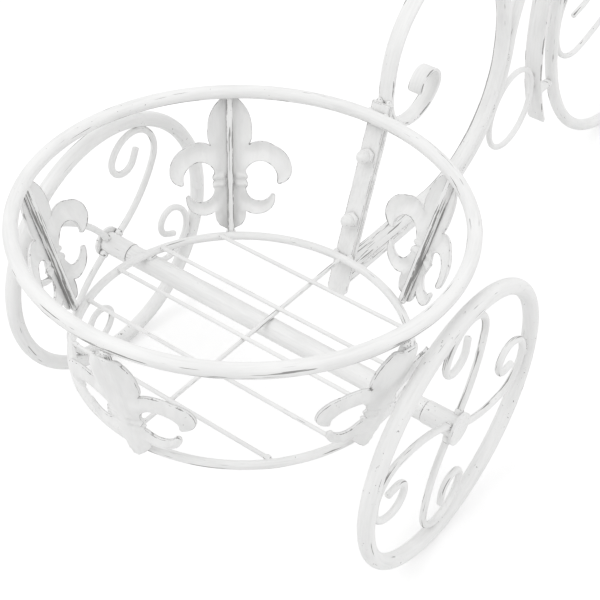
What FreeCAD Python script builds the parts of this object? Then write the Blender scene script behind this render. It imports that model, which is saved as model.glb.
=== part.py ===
# Flower cart stand: a three-wheeled cart of white bent steel that carries a round pot
# basket low between two small rolling wheels, and a smaller one above a large fixed
# front wheel.  Millimetres, +Z up, +X is the way the cart points, +Y its left side.
# The origin is on the ground, under the middle of the cart's box.
import FreeCAD, Part
import math
import os
from FreeCAD import Placement, Rotation, Vector

doc = FreeCAD.newDocument("flower_cart_stand")
sheet = doc.addObject("Spreadsheet::Sheet", "sizes")

SIZES = [
    # lower basket
    ("rim_inside_wheels", 6.5),      # the top ring's centre line inside the rolling wheels' middles
    ("rim_tube", 4.75),              # radius of that ring's tube
    ("floor_inside_wheels", 34.5),   # the floor ring's centre line inside them
    ("floor_tube", 3.0),
    ("basket_depth", 104.0),         # between the two rings' centre lines
    ("wire_radius", 1.5),            # floor wires
    ("wire_pitch", 37.5),
    ("wire_lift", 2.0),              # wires above the floor ring's centre line
    ("upright_width", 4.5),
    ("upright_depth", 5.0),
    ("upright_out", 2.0),            # its inner face outside the line of the rings' centres
    ("leaf_thickness", 1.6),         # the lily ornaments' pressed plate
    ("leaf_dish_radius", 105.0),     # radius to which the plate is dished across
    ("band_bar", 2.0),               # radius of the bands round the plate's waist
    # upper basket
    ("upper_rim_radius", 105.0),
    ("upper_rim_tube", 4.0),
    ("upper_floor_radius", 84.0),
    ("upper_floor_tube", 3.0),
    ("upper_depth", 78.0),
    ("upper_rim_height", 566.0),
    ("upper_wire_pitch", 28.0),
    # straps, bolts
    ("strap_width", 13.0),
    ("strap_thickness", 2.5),
    ("frame_strap_width", 16.0),
    ("strap_above_rim", 8.0),        # the straps' top end above the rim's centre line
    ("strap_below_floor", 31.0),     # the frame strap's lower end below the floor ring
    ("bolt_radius", 3.0),
    ("bolt_clearance", 0.1),
    ("nut_across", 10.0),            # across the flats
    ("nut_height", 4.8),
    ("head_height", 4.0),
    ("bolt_end", 3.0),               # thread past the nut
    ("upper_bolt_height", 18.0),     # from the floor ring's centre line up the strap
    ("upper_bolt_pitch", 38.0),
    ("lower_bolt_height", 30.0),
    ("bolt_pitch", 49.0),
    # frame
    ("main_tube", 6.0),              # radius of the main tube
    ("second_tube", 5.0),
    ("main_height", 100.0),          # the main tube's level run above the ground
    ("main_run", 230.0),             # end of that run, ahead of the lower basket's centre
    ("main_bend_radius", 90.0),      # bend from level to upright
    ("main_return_radius", 126.5),   # bend back over the basket
    ("return_angle", 96.0),
    ("second_bend_radius", 120.0),   # the second tube's bend towards the fender
    ("second_lap_angle", 9.0),       # how far it laps along the fender, degrees
    ("scroll_width", 11.5),
    ("scroll_thickness", 2.5),
    ("scroll_foot_radius", 34.0),    # radius of the flat scroll's foot
    ("scroll_foot_height", 228.0),   # centre of that foot above the ground
    ("scroll_foot_angle", 140.0),
    ("scroll_curl_radius", 12.0),
    ("scroll_curl_angle", 190.0),
    ("scroll_straight", 10.0),
    ("scroll_lap_angle", 21.0),      # how far it laps along the main tube, degrees
    ("ring_radius", 34.0),           # the small ring between frame and fender
    ("ring_tube", 2.5),
    # fender and front wheel
    ("front_wheel_x", 608.5),        # front wheel's centre ahead of the lower basket's
    ("front_wheel_radius", 198.0),
    ("wheel_tube", 5.5),
    ("fender_radius", 228.0),
    ("fender_width", 16.0),
    ("fender_thickness", 2.5),
    ("fender_start_angle", 211.7),   # angle of its lower end about the wheel's centre
    ("fender_end_angle", 52.0),
    ("stub_radius", 3.5),
    ("stub_angle", 202.6),           # the lowest stub between wheel and fender
    ("stub_pitch_angle", 66.0),
    ("front_hub_radius", 11.0),
    ("front_hub_length", 18.0),
    ("front_arm_angle", 12.0),
    # post and handlebar
    ("post_x", 560.0),
    ("post_radius", 7.0),
    ("bar_height", 662.0),
    ("bar_radius", 6.0),
    ("bar_straight", 46.0),
    ("bar_bend_radius", 52.0),
    ("bar_angle", 72.0),
    ("bar_end", 96.0),
    ("knob_radius", 9.0),
    # rear wheels and axle
    ("axle_x", 29.5),                # axle ahead of the lower basket's centre
    ("half_track", 146.5),
    ("rear_wheel_radius", 96.5),
    ("axle_tube", 7.5),
    ("hub_length", 23.0),
    ("rod_radius", 4.0),
    ("rod_fit", 0.05),
    ("hub_radius", 8.0),
    ("cap_radius", 11.5),
    ("cap_thickness", 2.0),
    ("side_play", 0.5),
    ("arm_wire", 2.5),
    ("arm_curl_radius", 22.5),       # radius of the wheel scrolls' outer curl
    ("arm_inner_curl_radius", 11.3),
    ("arm_end", 9.0),                # straight end inside that curl
    ("right_arm_angle", 0.0),        # how the scrolls stand in each rolling wheel
    ("left_arm_angle", 66.0),
    ("weld_gap", 0.1),               # left between pieces that a weld joins
]

# sizes that follow from the ones above
DERIVED = [
    ("rim_radius", "=half_track - rim_inside_wheels"),
    ("floor_radius", "=half_track - floor_inside_wheels"),
    ("axle_length", "=2 * (half_track + arm_wire - hub_length)"),
]

for row, (alias, value) in enumerate(SIZES + DERIVED, start=1):
    sheet.set("A%d" % row, alias)
    sheet.set("B%d" % row, str(value))
    sheet.setAlias("B%d" % row, alias)
doc.recompute()

nodes = []


def size(alias):
    return float(sheet.get(alias))


GAP = size("weld_gap")
UPRIGHT_PLANE = Rotation(Vector(1, 0, 0), 90)    # local X, Y drawn in the upright X-Z plane
ALONG_Y = Rotation(Vector(1, 0, 0), -90)         # local Z turned to +Y
ALONG_X = Rotation(Vector(0, 1, 0), 90)          # local Z turned to +X


def keep(thing, node):
    """Names a finished sub-part after its node and lists it for writing."""
    thing.Label = node
    nodes.append(thing)
    return thing


def bind(thing, **cells):
    """Binds properties of an object to expressions on the sheet."""
    for name, expression in cells.items():
        thing.setExpression(name, expression)
    return thing


def place(thing, x, y, z, rotation=None):
    thing.Placement = Placement(Vector(x, y, z), rotation or Rotation())
    return thing


def helper(kind, name):
    return doc.addObject(kind, name)


# ---------------------------------------------------------------- routes of lines and arcs

class Route:
    """Straight lines and tangent arcs in a plane, from a point with a heading in degrees."""

    def __init__(self, x, y, heading):
        self.x = x
        self.y = y
        self.heading = heading
        self.steps = []

    def line(self, length):
        self.steps.append((length, 0.0))
        return self

    def arc(self, radius, turn):
        """A positive turn is to the left."""
        self.steps.append((radius, turn))
        return self

    def edges(self, side=0.0):
        """The route's edges, moved to its left by side."""
        x, y, heading = self.x, self.y, math.radians(self.heading)
        x -= side * math.sin(heading)
        y += side * math.cos(heading)
        made = []
        for amount, turn in self.steps:
            start = Vector(x, y, 0)
            if turn == 0.0:
                x += amount * math.cos(heading)
                y += amount * math.sin(heading)
                made.append(Part.LineSegment(start, Vector(x, y, 0)).toShape())
                continue
            left = math.copysign(1.0, turn)
            radius = amount - left * side
            cx = x - left * radius * math.sin(heading)
            cy = y + left * radius * math.cos(heading)
            middle = heading + math.radians(turn) / 2
            heading += math.radians(turn)
            x, y = (cx + left * radius * math.sin(heading), cy - left * radius * math.cos(heading))
            through = Vector(cx + left * radius * math.sin(middle), cy - left * radius * math.cos(middle), 0)
            made.append(Part.Arc(start, through, Vector(x, y, 0)).toShape())
        return made

    def end(self):
        """The last point and the heading there, in degrees."""
        point = self.edges()[-1].Vertexes[-1].Point
        return point.x, point.y, self.heading + sum(turn for _, turn in self.steps)

    def back(self):
        """The same route from its end to its start."""
        x, y, heading = self.end()
        other = Route(x, y, heading + 180)
        other.steps = [(amount, -turn) for amount, turn in reversed(self.steps)]
        return other


def drawn(name, edges):
    line = helper("Part::Feature", name + "_line")
    line.Shape = Part.Wire(edges)
    return line


def tube(name, route, radius_cell):
    """A round tube or wire along a route drawn in its own X-Y plane."""
    spine = drawn(name, route.edges())
    section = helper("Part::Circle", name + "_section")
    bind(section, Radius=radius_cell)
    heading = math.radians(route.heading)
    ahead = Vector(math.cos(heading), math.sin(heading), 0)
    place(section, route.x, route.y, 0, Rotation(Vector(0, 0, 1), ahead))
    swept = helper("Part::Sweep", name)
    swept.Sections = [section]
    swept.Spine = (spine, ["Edge%d" % (number + 1) for number in range(len(route.steps))])
    swept.Solid = True
    swept.Frenet = False
    return swept


def ribbon(name, route, thickness, width_cell):
    """A flat bar on edge along a route: the route lies in the middle of its thickness."""
    left = route.edges(thickness / 2)
    right = route.edges(-thickness / 2)
    first = Part.LineSegment(left[0].Vertexes[0].Point, right[0].Vertexes[0].Point).toShape()
    last = Part.LineSegment(left[-1].Vertexes[-1].Point, right[-1].Vertexes[-1].Point).toShape()
    outline = drawn(name, Part.__sortEdges__(left + right + [first, last]))
    bar = helper("Part::Extrusion", name)
    bar.Base = outline
    bar.DirMode = "Custom"
    bar.Dir = Vector(0, 0, 1)
    bar.Solid = True
    bar.Symmetric = True
    bind(bar, LengthFwd=width_cell)
    return bar


def ring(name, radius_cell, tube_cell, x, y, z, rotation=None):
    torus = helper("Part::Torus", name)
    bind(torus, Radius1=radius_cell, Radius2=tube_cell)
    return place(torus, x, y, z, rotation)


def rod(name, radius_cell, length_cell, x, y, z, rotation=None):
    bar = helper("Part::Cylinder", name)
    bind(bar, Radius=radius_cell, Height=length_cell)
    return place(bar, x, y, z, rotation)


def cut(name, base, tool):
    made = helper("Part::Cut", name)
    made.Base = base
    made.Tool = tool
    return made


def group(name, pieces):
    made = helper("Part::Compound", name)
    made.Links = pieces
    return made


# ---------------------------------------------------------------- heights and places

rear_axle_height = size("rear_wheel_radius") + size("wheel_tube")
front_axle_height = size("front_wheel_radius") + size("wheel_tube")
floor_height = rear_axle_height + size("axle_tube") + GAP + size("floor_tube")
rim_height = floor_height + size("basket_depth")
front_reach = size("front_wheel_x") + size("front_wheel_radius") + size("wheel_tube")
rear_reach = size("rim_radius") + size("rim_tube")
basket_x = (rear_reach - front_reach) / 2
axle_x = basket_x + size("axle_x")
wheel_x = basket_x + size("front_wheel_x")


# ---------------------------------------------------------------- baskets

# Half the outline of the lily ornament: across, and down from the rim's centre line.
# Each step is an arc through the first point to the second, or a line to one point.
LEAF_TOP = (3.4, 4.85)
LEAF_STEPS = [
    ((11.5, 13.0), (15.3, 27.0)), ((15.5, 33.5), (13.6, 39.6)),
    ((22.5, 36.9), (31.5, 39.9)), ((39.9, 46.4), (42.7, 55.5)), ((40.7, 63.2), (34.6, 67.6)),
    ((33.3, 67.3), (32.8, 66.0)), ((30.4, 55.8), (22.3, 51.4)), ((15.4, 53.4), (11.2, 58.6)),
    ((11.2, 61.2),), ((12.5, 63.9), (11.2, 66.6)), ((12.5, 69.4), (11.2, 72.2)),
    ((14.2, 79.1), (20.0, 81.5)), ((25.2, 80.1), (28.6, 76.2)), ((30.7, 75.5), (31.5, 77.6)),
    ((28.3, 86.9), (19.8, 91.4)), ((15.0, 91.1), (10.8, 89.0)), ((9.8, 96.5), (5.2, 102.0)),
    ((1.8, 104.6),),
]
LEAF_SPAN = LEAF_STEPS[-1][-1][1] - LEAF_TOP[1]
# Bars of the ornament's two collar bands: height down the plate and half length.
LEAF_BANDS = [(63.9, 11.6), (69.4, 11.6)]
# Where the ornaments stand about the basket, from its strap; they are set by hand, not evenly.
LEAF_ANGLES = [43.0, 114.5, 187.0, 256.9, 328.5]
WIRES_EACH_SIDE = 2                 # floor wires on each side of the middle one
STRAP_CORNER = 0.3                  # of the strap's width, at its lower end


def leaf_edges(start, span):
    """The whole outline of one ornament, its top at start and its length span."""
    scale = span / LEAF_SPAN

    def point(pair, side):
        return Vector(side * pair[0] * scale, start + (pair[1] - LEAF_TOP[1]) * scale, 0)

    made = []
    for side in (1, -1):
        here = LEAF_TOP
        for step in LEAF_STEPS:
            if len(step) == 1:
                made.append(Part.LineSegment(point(here, side), point(step[0], side)).toShape())
            else:
                made.append(Part.Arc(point(here, side), point(step[0], side), point(step[1], side)).toShape())
            here = step[-1]
    tail = LEAF_STEPS[-1][-1]
    made.append(Part.LineSegment(point(LEAF_TOP, 1), point(LEAF_TOP, -1)).toShape())
    made.append(Part.LineSegment(point(tail, 1), point(tail, -1)).toShape())
    return Part.__sortEdges__(made), scale


def basket(prefix, cells, x, top, turn, separate):
    """Rings, floor wires, uprights and ornaments of one basket, its rim at height top and
    its strap on the side that turn gives."""
    rim, rim_tube, floor, floor_tube, depth, pitch = cells
    rim_radius, rim_wall = size(rim), size(rim_tube)
    floor_radius, floor_wall = size(floor), size(floor_tube)
    bottom = top - size(depth)
    keep(ring(prefix + "_rim", "sizes." + rim, "sizes." + rim_tube, x, 0, top), prefix + "_rim")
    keep(ring(prefix + "_floor_ring", "sizes." + floor, "sizes." + floor_tube, x, 0, bottom),
         prefix + "_floor_ring")

    # floor wires across the cart, and one along it below them
    inside = "(sizes.%s - sizes.%s - sizes.weld_gap)" % (floor, floor_tube)
    wires = []
    wire = size("wire_radius")
    lift = bottom + size("wire_lift")
    for step in range(-WIRES_EACH_SIDE, WIRES_EACH_SIDE + 1):
        offset = "(%d * sizes.%s + sizes.wire_radius)" % (abs(step), pitch)
        reach = "sqrt(%s ^ 2 - %s ^ 2)" % (inside, offset)
        half = math.sqrt((floor_radius - floor_wall - GAP) ** 2 - (abs(step) * size(pitch) + wire) ** 2)
        name = "%s_floor_wire_%d" % (prefix, step + WIRES_EACH_SIDE + 1)
        made = rod(name, "sizes.wire_radius", "2 * " + reach, x + step * size(pitch), -half, lift, ALONG_Y)
        wires.append(made)
    half = math.sqrt((floor_radius - floor_wall - GAP) ** 2 - wire ** 2)
    below = lift - 2 * wire - GAP
    long_wire = rod(prefix + "_long_wire", "sizes.wire_radius",
                    "2 * sqrt(%s ^ 2 - sizes.wire_radius ^ 2)" % inside, x - half, 0, below, ALONG_X)
    if separate:
        for made in wires:
            keep(made, made.Name)
        keep(long_wire, prefix + "_long_wire")
    else:
        keep(group(prefix + "_floor_wires", wires + [long_wire]), prefix + "_floor_wires")

    # five uprights outside the line of the rings' centres, each with a dished ornament
    slope = math.hypot(rim_radius - floor_radius, size(depth))
    down = Vector((floor_radius - rim_radius) / slope, 0, -size(depth) / slope)
    aside = size("upright_out")
    start = math.sqrt((rim_wall + GAP) ** 2 - aside ** 2)
    span = slope - start - math.sqrt((floor_wall + GAP) ** 2 - aside ** 2)
    face = aside + size("upright_depth")
    dish = size("leaf_dish_radius")
    uprights = []
    for number, stand in enumerate(LEAF_ANGLES):
        angle = math.radians(turn + stand)
        swing = Rotation(Vector(0, 0, 1), turn + stand)
        across = swing.multVec(Vector(0, 1, 0))
        along = swing.multVec(down)
        inward = across.cross(along)
        facing = Rotation(across, along, inward, "XYZ")
        centre = Vector(x + rim_radius * math.cos(angle), rim_radius * math.sin(angle), top)

        bar = helper("Part::Box", "%s_upright_%d" % (prefix, number + 1))
        bind(bar, Length="sizes.upright_width", Height="sizes.upright_depth")
        bar.Width = span
        corner = centre - inward * face - across * (size("upright_width") / 2) + along * start
        bar.Placement = Placement(corner, facing)
        uprights.append(bar)

        # in the ornament's own frame the dish's hollow side starts at height 0 and faces up
        name = "%s_leaf_%d" % (prefix, number + 1)
        edges, scale = leaf_edges(start, span)
        blank = helper("Part::Extrusion", name + "_blank")
        blank.Base = drawn(name, edges)
        blank.DirMode = "Custom"
        blank.Dir = Vector(0, 0, 1)
        blank.Solid = True
        blank.LengthFwd = dish / 2
        blank.LengthRev = 2 * size("leaf_thickness")
        outer = rod(name + "_outer", "sizes.leaf_dish_radius + sizes.leaf_thickness", "%.4f" % (3 * span),
                    0, -span, dish, ALONG_Y)
        hollow = rod(name + "_hollow", "sizes.leaf_dish_radius", "%.4f" % (3 * span), 0, -span, dish, ALONG_Y)
        plate = helper("Part::Common", name + "_plate")
        plate.Base = blank
        plate.Tool = outer
        bands = []
        for order, (drop, half) in enumerate(LEAF_BANDS):
            band = rod("%s_band_%d" % (name, order + 1), "sizes.band_bar", "%.4f" % (2 * half * scale),
                       -half * scale, start + (drop - LEAF_TOP[1]) * scale, 0, ALONG_X)
            bands.append(band)
        whole = helper("Part::MultiFuse", name + "_whole")
        whole.Shapes = [plate] + bands
        leaf = cut(name, whole, hollow)
        leaf.Placement = Placement(centre - inward * (face + GAP), facing)
        keep(leaf, name)
    if separate:
        for bar in uprights:
            keep(bar, bar.Name)
    else:
        keep(group(prefix + "_uprights", uprights), prefix + "_uprights")
    return bottom


basket("basket", ("rim_radius", "rim_tube", "floor_radius", "floor_tube", "basket_depth", "wire_pitch"),
       basket_x, rim_height, 0, True)

# ---------------------------------------------------------------- straps and bolts

def bolt_set(prefix, places, facing, grip):
    """Two hexagon bolts through a grip, heads on the far side of local Z, nuts on the near."""
    bolts = []
    nuts = []
    round_corner = "sizes.nut_across / sqrt(3)"
    for number, spot in enumerate(places, start=1):
        name = "%s_bolt_%d" % (prefix, number)
        shank = helper("Part::Cylinder", name + "_shank")
        bind(shank, Radius="sizes.bolt_radius")
        past = size("nut_height") + size("bolt_end") + GAP
        shank.Height = grip + past
        place(shank, 0, 0, -past)
        head = helper("Part::Prism", name + "_head")
        head.Polygon = 6
        bind(head, Circumradius=round_corner, Height="sizes.head_height")
        place(head, 0, 0, grip)
        bolt = helper("Part::Fuse", name)
        bolt.Base = shank
        bolt.Tool = head
        bolt.Placement = Placement(spot, facing)
        bolts.append(bolt)

        blank = helper("Part::Prism", name + "_nut_blank")
        blank.Polygon = 6
        bind(blank, Circumradius=round_corner, Height="sizes.nut_height")
        bore = helper("Part::Cylinder", name + "_nut_bore")
        bind(bore, Radius="sizes.bolt_radius + sizes.bolt_clearance", Height="sizes.nut_height")
        nut = cut(name + "_nut", blank, bore)
        nut.Placement = Placement(spot - facing.multVec(Vector(0, 0, size("nut_height") + GAP)), facing)
        nuts.append(nut)
    keep(group(prefix + "_bolts", bolts), prefix + "_bolts")
    keep(group(prefix + "_nuts", nuts), prefix + "_nuts")


def drilled(name, blank, holes, facing, depth):
    """A flat or a post with two clear holes for the bolts."""
    tools = []
    for number, spot in enumerate(holes, start=1):
        drill = helper("Part::Cylinder", "%s_drill_%d" % (name, number))
        bind(drill, Radius="sizes.bolt_radius + sizes.bolt_clearance")
        drill.Height = 2 * depth
        drill.Placement = Placement(spot - facing.multVec(Vector(0, 0, depth)), facing)
        tools.append(drill)
    both = helper("Part::MultiFuse", name + "_drills")
    both.Shapes = tools
    return cut(name, blank, both)


def strap(node, width, low, high, lift, facing, foot, holes):
    """A flat bar up the basket's front: low and high are lengths along it from foot."""
    corner = STRAP_CORNER * width
    half = width / 2
    turned = corner * (1 - math.sqrt(0.5))
    edges = [
        Part.LineSegment(Vector(half, low + corner, 0), Vector(half, high, 0)).toShape(),
        Part.LineSegment(Vector(half, high, 0), Vector(-half, high, 0)).toShape(),
        Part.LineSegment(Vector(-half, high, 0), Vector(-half, low + corner, 0)).toShape(),
        Part.Arc(Vector(-half, low + corner, 0), Vector(turned - half, low + turned, 0),
                 Vector(corner - half, low, 0)).toShape(),
        Part.LineSegment(Vector(corner - half, low, 0), Vector(half - corner, low, 0)).toShape(),
        Part.Arc(Vector(half - corner, low, 0), Vector(half - turned, low + turned, 0),
                 Vector(half, low + corner, 0)).toShape(),
    ]
    flat = helper("Part::Extrusion", node + "_flat")
    flat.Base = drawn(node, edges)
    flat.DirMode = "Custom"
    flat.Dir = Vector(0, 0, 1)
    flat.Solid = True
    bind(flat, LengthFwd="sizes.strap_thickness")
    flat.Placement = Placement(foot + facing.multVec(Vector(0, 0, lift)), facing)
    keep(drilled(node, flat, holes, facing, 4 * size("strap_thickness")), node)


# the straps lie on a line that touches the outsides of the lower basket's two rings
strap_lean = math.atan2(size("rim_radius") - size("floor_radius"), size("basket_depth"))
strap_lean += math.asin((size("rim_tube") - size("floor_tube"))
                        / math.hypot(size("rim_radius") - size("floor_radius"), size("basket_depth")))
along_strap = Vector(math.sin(strap_lean), 0, math.cos(strap_lean))
strap_facing = Rotation(Vector(0, 1, 0), along_strap, Vector(math.cos(strap_lean), 0, -math.sin(strap_lean)),
                        "XYZ")
strap_out = strap_facing.multVec(Vector(0, 0, 1))
strap_foot = Vector(basket_x + size("floor_radius"), 0, floor_height) + strap_out * (size("floor_tube") + GAP)
strap_top = (size("basket_depth") + size("strap_above_rim")) / math.cos(strap_lean)
bolt_spots = [strap_foot + along_strap * rise
              for rise in (size("lower_bolt_height"), size("lower_bolt_height") + size("bolt_pitch"))]
second_lift = size("strap_thickness") + GAP
strap("basket_strap", size("strap_width"), -size("floor_tube") - 1.0, strap_top, 0.0, strap_facing,
      strap_foot, bolt_spots)
strap("frame_strap", size("frame_strap_width"), -size("strap_below_floor"), strap_top, second_lift,
      strap_facing, strap_foot, bolt_spots)
bolt_set("strap", bolt_spots, strap_facing, second_lift + size("strap_thickness") + GAP)
strap_outer = strap_foot + strap_out * (second_lift + size("strap_thickness") + GAP)


def strap_face_x(height):
    """Where the frame strap's outer face is at a height above the ground."""
    return strap_outer.x + (height - strap_outer.z) * math.tan(strap_lean)


# ---------------------------------------------------------------- frame

bend_height = size("main_height") + size("main_bend_radius")
main_x = basket_x + size("main_run") + size("main_bend_radius")
return_x = main_x - size("main_return_radius")


def upright(thing):
    """Stands a sub-part drawn in its own X-Y plane up in the cart's middle plane."""
    return place(thing, 0, 0, 0, UPRIGHT_PLANE)


main_start = strap_face_x(size("main_height") + size("main_tube")) + GAP
main_route = Route(main_start, size("main_height"), 0)
main_route.line(basket_x + size("main_run") - main_start)
main_route.arc(size("main_bend_radius"), 90).arc(size("main_return_radius"), size("return_angle"))
keep(upright(tube("main_tube", main_route, "sizes.main_tube")), "main_tube")

# the second tube runs along the outside of the main one and bends away to the fender
apart = size("main_tube") + size("second_tube") + GAP
second_radius = size("main_bend_radius") + apart
second_height = size("main_height") - apart
second_start = strap_face_x(second_height + size("second_tube")) + GAP
lap_radius = size("fender_radius") + size("fender_thickness") / 2 + size("second_tube") + GAP
turn_x = basket_x + size("main_run") + second_radius + size("second_bend_radius")
across = wheel_x - turn_x
rise = front_axle_height - bend_height
span = math.hypot(across, rise)
leave = math.atan2(rise, across) - math.asin((size("second_bend_radius") - lap_radius) / span)
second_route = Route(second_start, second_height, 0)
second_route.line(basket_x + size("main_run") - second_start)
second_route.arc(second_radius, 90).arc(size("second_bend_radius"), math.degrees(leave) - 90)
second_route.line(math.sqrt(span ** 2 - (lap_radius - size("second_bend_radius")) ** 2))
second_route.arc(lap_radius, -size("second_lap_angle"))
keep(upright(tube("second_tube", second_route, "sizes.second_tube")), "second_tube")

# the flat scroll: a foot curl at the strap's top, a rise, and a lap under the main tube
scroll_x = strap_face_x(strap_foot.z + strap_top * math.cos(strap_lean)) + GAP + size("scroll_thickness") / 2
rise_height = size("scroll_foot_height") + size("scroll_straight")
under = size("main_return_radius") - size("main_tube") - size("scroll_thickness") / 2 - GAP
reach_x = scroll_x - return_x
reach_z = rise_height - bend_height
rise_radius = (under ** 2 - reach_x ** 2 - reach_z ** 2) / (2 * (reach_x + under))
meet = math.atan2(reach_z, scroll_x + rise_radius - return_x)
foot_route = Route(scroll_x, size("scroll_foot_height"), -90)
foot_route.arc(size("scroll_foot_radius"), size("scroll_foot_angle"))
foot_route.arc(size("scroll_curl_radius"), size("scroll_curl_angle"))
scroll_route = foot_route.back().line(size("scroll_straight"))
scroll_route.arc(rise_radius, math.degrees(meet) - 180).arc(under, -size("scroll_lap_angle"))
keep(upright(ribbon("flat_scroll", scroll_route, size("scroll_thickness"), "sizes.scroll_width")),
     "flat_scroll")

# the small ring touches the second tube's bend and the fender
ring_out = size("ring_radius") + size("ring_tube") + GAP
from_bend = second_radius + size("second_tube") + ring_out
from_wheel = size("fender_radius") + size("fender_thickness") / 2 + ring_out
bend_x = basket_x + size("main_run")
away = Vector(wheel_x - bend_x, front_axle_height - bend_height, 0)
forward = (from_bend ** 2 - from_wheel ** 2 + away.Length ** 2) / (2 * away.Length)
aside = math.sqrt(from_bend ** 2 - forward ** 2)
away.normalize()
ring_x = bend_x + away.x * forward + away.y * aside
ring_z = bend_height + away.y * forward - away.x * aside
keep(ring("frame_ring", "sizes.ring_radius", "sizes.ring_tube", ring_x, 0, ring_z, UPRIGHT_PLANE), "frame_ring")

# the fender, an arc of flat bar round the front wheel
first = math.radians(size("fender_start_angle"))
fender_route = Route(wheel_x + size("fender_radius") * math.cos(first),
                     front_axle_height + size("fender_radius") * math.sin(first),
                     size("fender_start_angle") - 90)
fender_route.arc(size("fender_radius"), size("fender_end_angle") - size("fender_start_angle"))
keep(upright(ribbon("fender", fender_route, size("fender_thickness"), "sizes.fender_width")), "fender")

# level-lying stubs hold the front wheel's ring inside the fender
trim_disc = rod("stub_trim_disc", "sizes.fender_radius - sizes.fender_thickness / 2 - sizes.weld_gap",
                "4 * sizes.stub_radius", wheel_x, -2 * size("stub_radius"), front_axle_height, ALONG_Y)
trim_ring = ring("stub_trim_ring", "sizes.front_wheel_radius", "sizes.wheel_tube + sizes.weld_gap",
                 wheel_x, 0, front_axle_height, UPRIGHT_PLANE)
stubs = []
for number in range(3):
    turn = -number * size("stub_pitch_angle")
    angle = math.radians(size("stub_angle") + turn)
    inward = Vector(math.cos(math.radians(turn)), 0, math.sin(math.radians(turn)))
    start = Vector(wheel_x + size("fender_radius") * math.cos(angle), 0,
                   front_axle_height + size("fender_radius") * math.sin(angle))
    blank = helper("Part::Cylinder", "fender_stub_%d_blank" % (number + 1))
    bind(blank, Radius="sizes.stub_radius", Height="sizes.fender_radius - sizes.front_wheel_radius")
    blank.Placement = Placement(start, Rotation(Vector(0, 0, 1), inward))
    inside = helper("Part::Common", "fender_stub_%d_inside" % (number + 1))
    inside.Base = blank
    inside.Tool = trim_disc
    stubs.append(cut("fender_stub_%d" % (number + 1), inside, trim_ring))
keep(group("fender_stubs", stubs), "fender_stubs")


# ---------------------------------------------------------------- wheels

def arm_route(ring_radius, hub_radius, curl, inner_curl, end, sense):
    """One scroll arm from the hub's wall out to the ring: sense 1 bulges to its left."""
    reach = ring_radius - size("wheel_tube") - size("arm_wire") - GAP - curl
    stem = (reach ** 2 + curl ** 2) / (2 * curl)
    leave = math.asin(reach / stem) - 2 * math.asin((hub_radius + GAP) / (2 * stem))
    x = reach - stem * math.sin(leave)
    y = curl - stem * (1 - math.cos(leave))
    route = Route(x, sense * y, sense * math.degrees(leave))
    route.arc(stem, -sense * math.degrees(leave)).arc(curl, -sense * 180)
    return route.arc(inner_curl, -sense * 180).line(end)


def scrolls(prefix, ring_radius, hub_radius, scale, sense, first_angle, x, y, height):
    """Two S-scrolls through the hub, each a pair of opposite arms."""
    route = arm_route(ring_radius, hub_radius, size("arm_curl_radius") * scale,
                      size("arm_inner_curl_radius") * scale, size("arm_end") * scale, sense)
    for letter, quarter in (("a", 0), ("b", 90)):
        pair = []
        for half in (0, 180):
            name = "%s_scroll_%s_%d" % (prefix, letter, half)
            arm = tube(name, route, "sizes.arm_wire")
            turned = UPRIGHT_PLANE.multiply(Rotation(Vector(0, 0, 1), first_angle + quarter + half))
            pair.append(place(arm, x, y, height, turned))
        node = "%s_scroll_%s" % (prefix, letter)
        keep(group(node, pair), node)


def rolling_wheel(prefix, side):
    """A small wheel on its hub sleeve: side is -1 on the right, 1 on the left."""
    y = side * size("half_track")
    keep(ring(prefix + "_wheel_ring", "sizes.rear_wheel_radius", "sizes.wheel_tube", axle_x, y,
              rear_axle_height, UPRIGHT_PLANE), prefix + "_wheel_ring")
    scrolls(prefix + "_wheel", size("rear_wheel_radius"), size("hub_radius"), 1.0, -1,
            size(prefix + "_arm_angle"), axle_x, y, rear_axle_height)
    inner = size("axle_length") / 2 + size("side_play")
    outer = size("half_track") + size("arm_wire") + size("side_play")
    low = inner if side > 0 else -outer
    sleeve = rod(prefix + "_hub_sleeve", "sizes.hub_radius",
                 "sizes.hub_length", axle_x, low, rear_axle_height,
                 ALONG_Y)
    bore = rod(prefix + "_hub_bore", "sizes.rod_radius + sizes.rod_fit",
               "sizes.hub_length", axle_x, low, rear_axle_height,
               ALONG_Y)
    keep(cut(prefix + "_wheel_hub", sleeve, bore), prefix + "_wheel_hub")
    cap_inner = outer + size("side_play")
    cap_low = cap_inner if side > 0 else -cap_inner - size("cap_thickness")
    keep(rod(prefix + "_axle_cap", "sizes.cap_radius", "sizes.cap_thickness", axle_x, cap_low,
             rear_axle_height, ALONG_Y), prefix + "_axle_cap")
    return cap_inner


rod_reach = rolling_wheel("right", -1) - GAP
rolling_wheel("left", 1)
axle_blank = rod("axle_tube_blank", "sizes.axle_tube", "sizes.axle_length", axle_x, -size("axle_length") / 2,
                 rear_axle_height, ALONG_Y)
axle_bore = rod("axle_tube_bore", "sizes.rod_radius + sizes.weld_gap", "sizes.axle_length", axle_x,
                -size("axle_length") / 2, rear_axle_height, ALONG_Y)
keep(cut("axle_tube", axle_blank, axle_bore), "axle_tube")
keep(rod("axle_rod", "sizes.rod_radius",
         "2 * (sizes.half_track + sizes.arm_wire + 2 * sizes.side_play - sizes.weld_gap)", axle_x, -rod_reach,
         rear_axle_height, ALONG_Y), "axle_rod")

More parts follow.
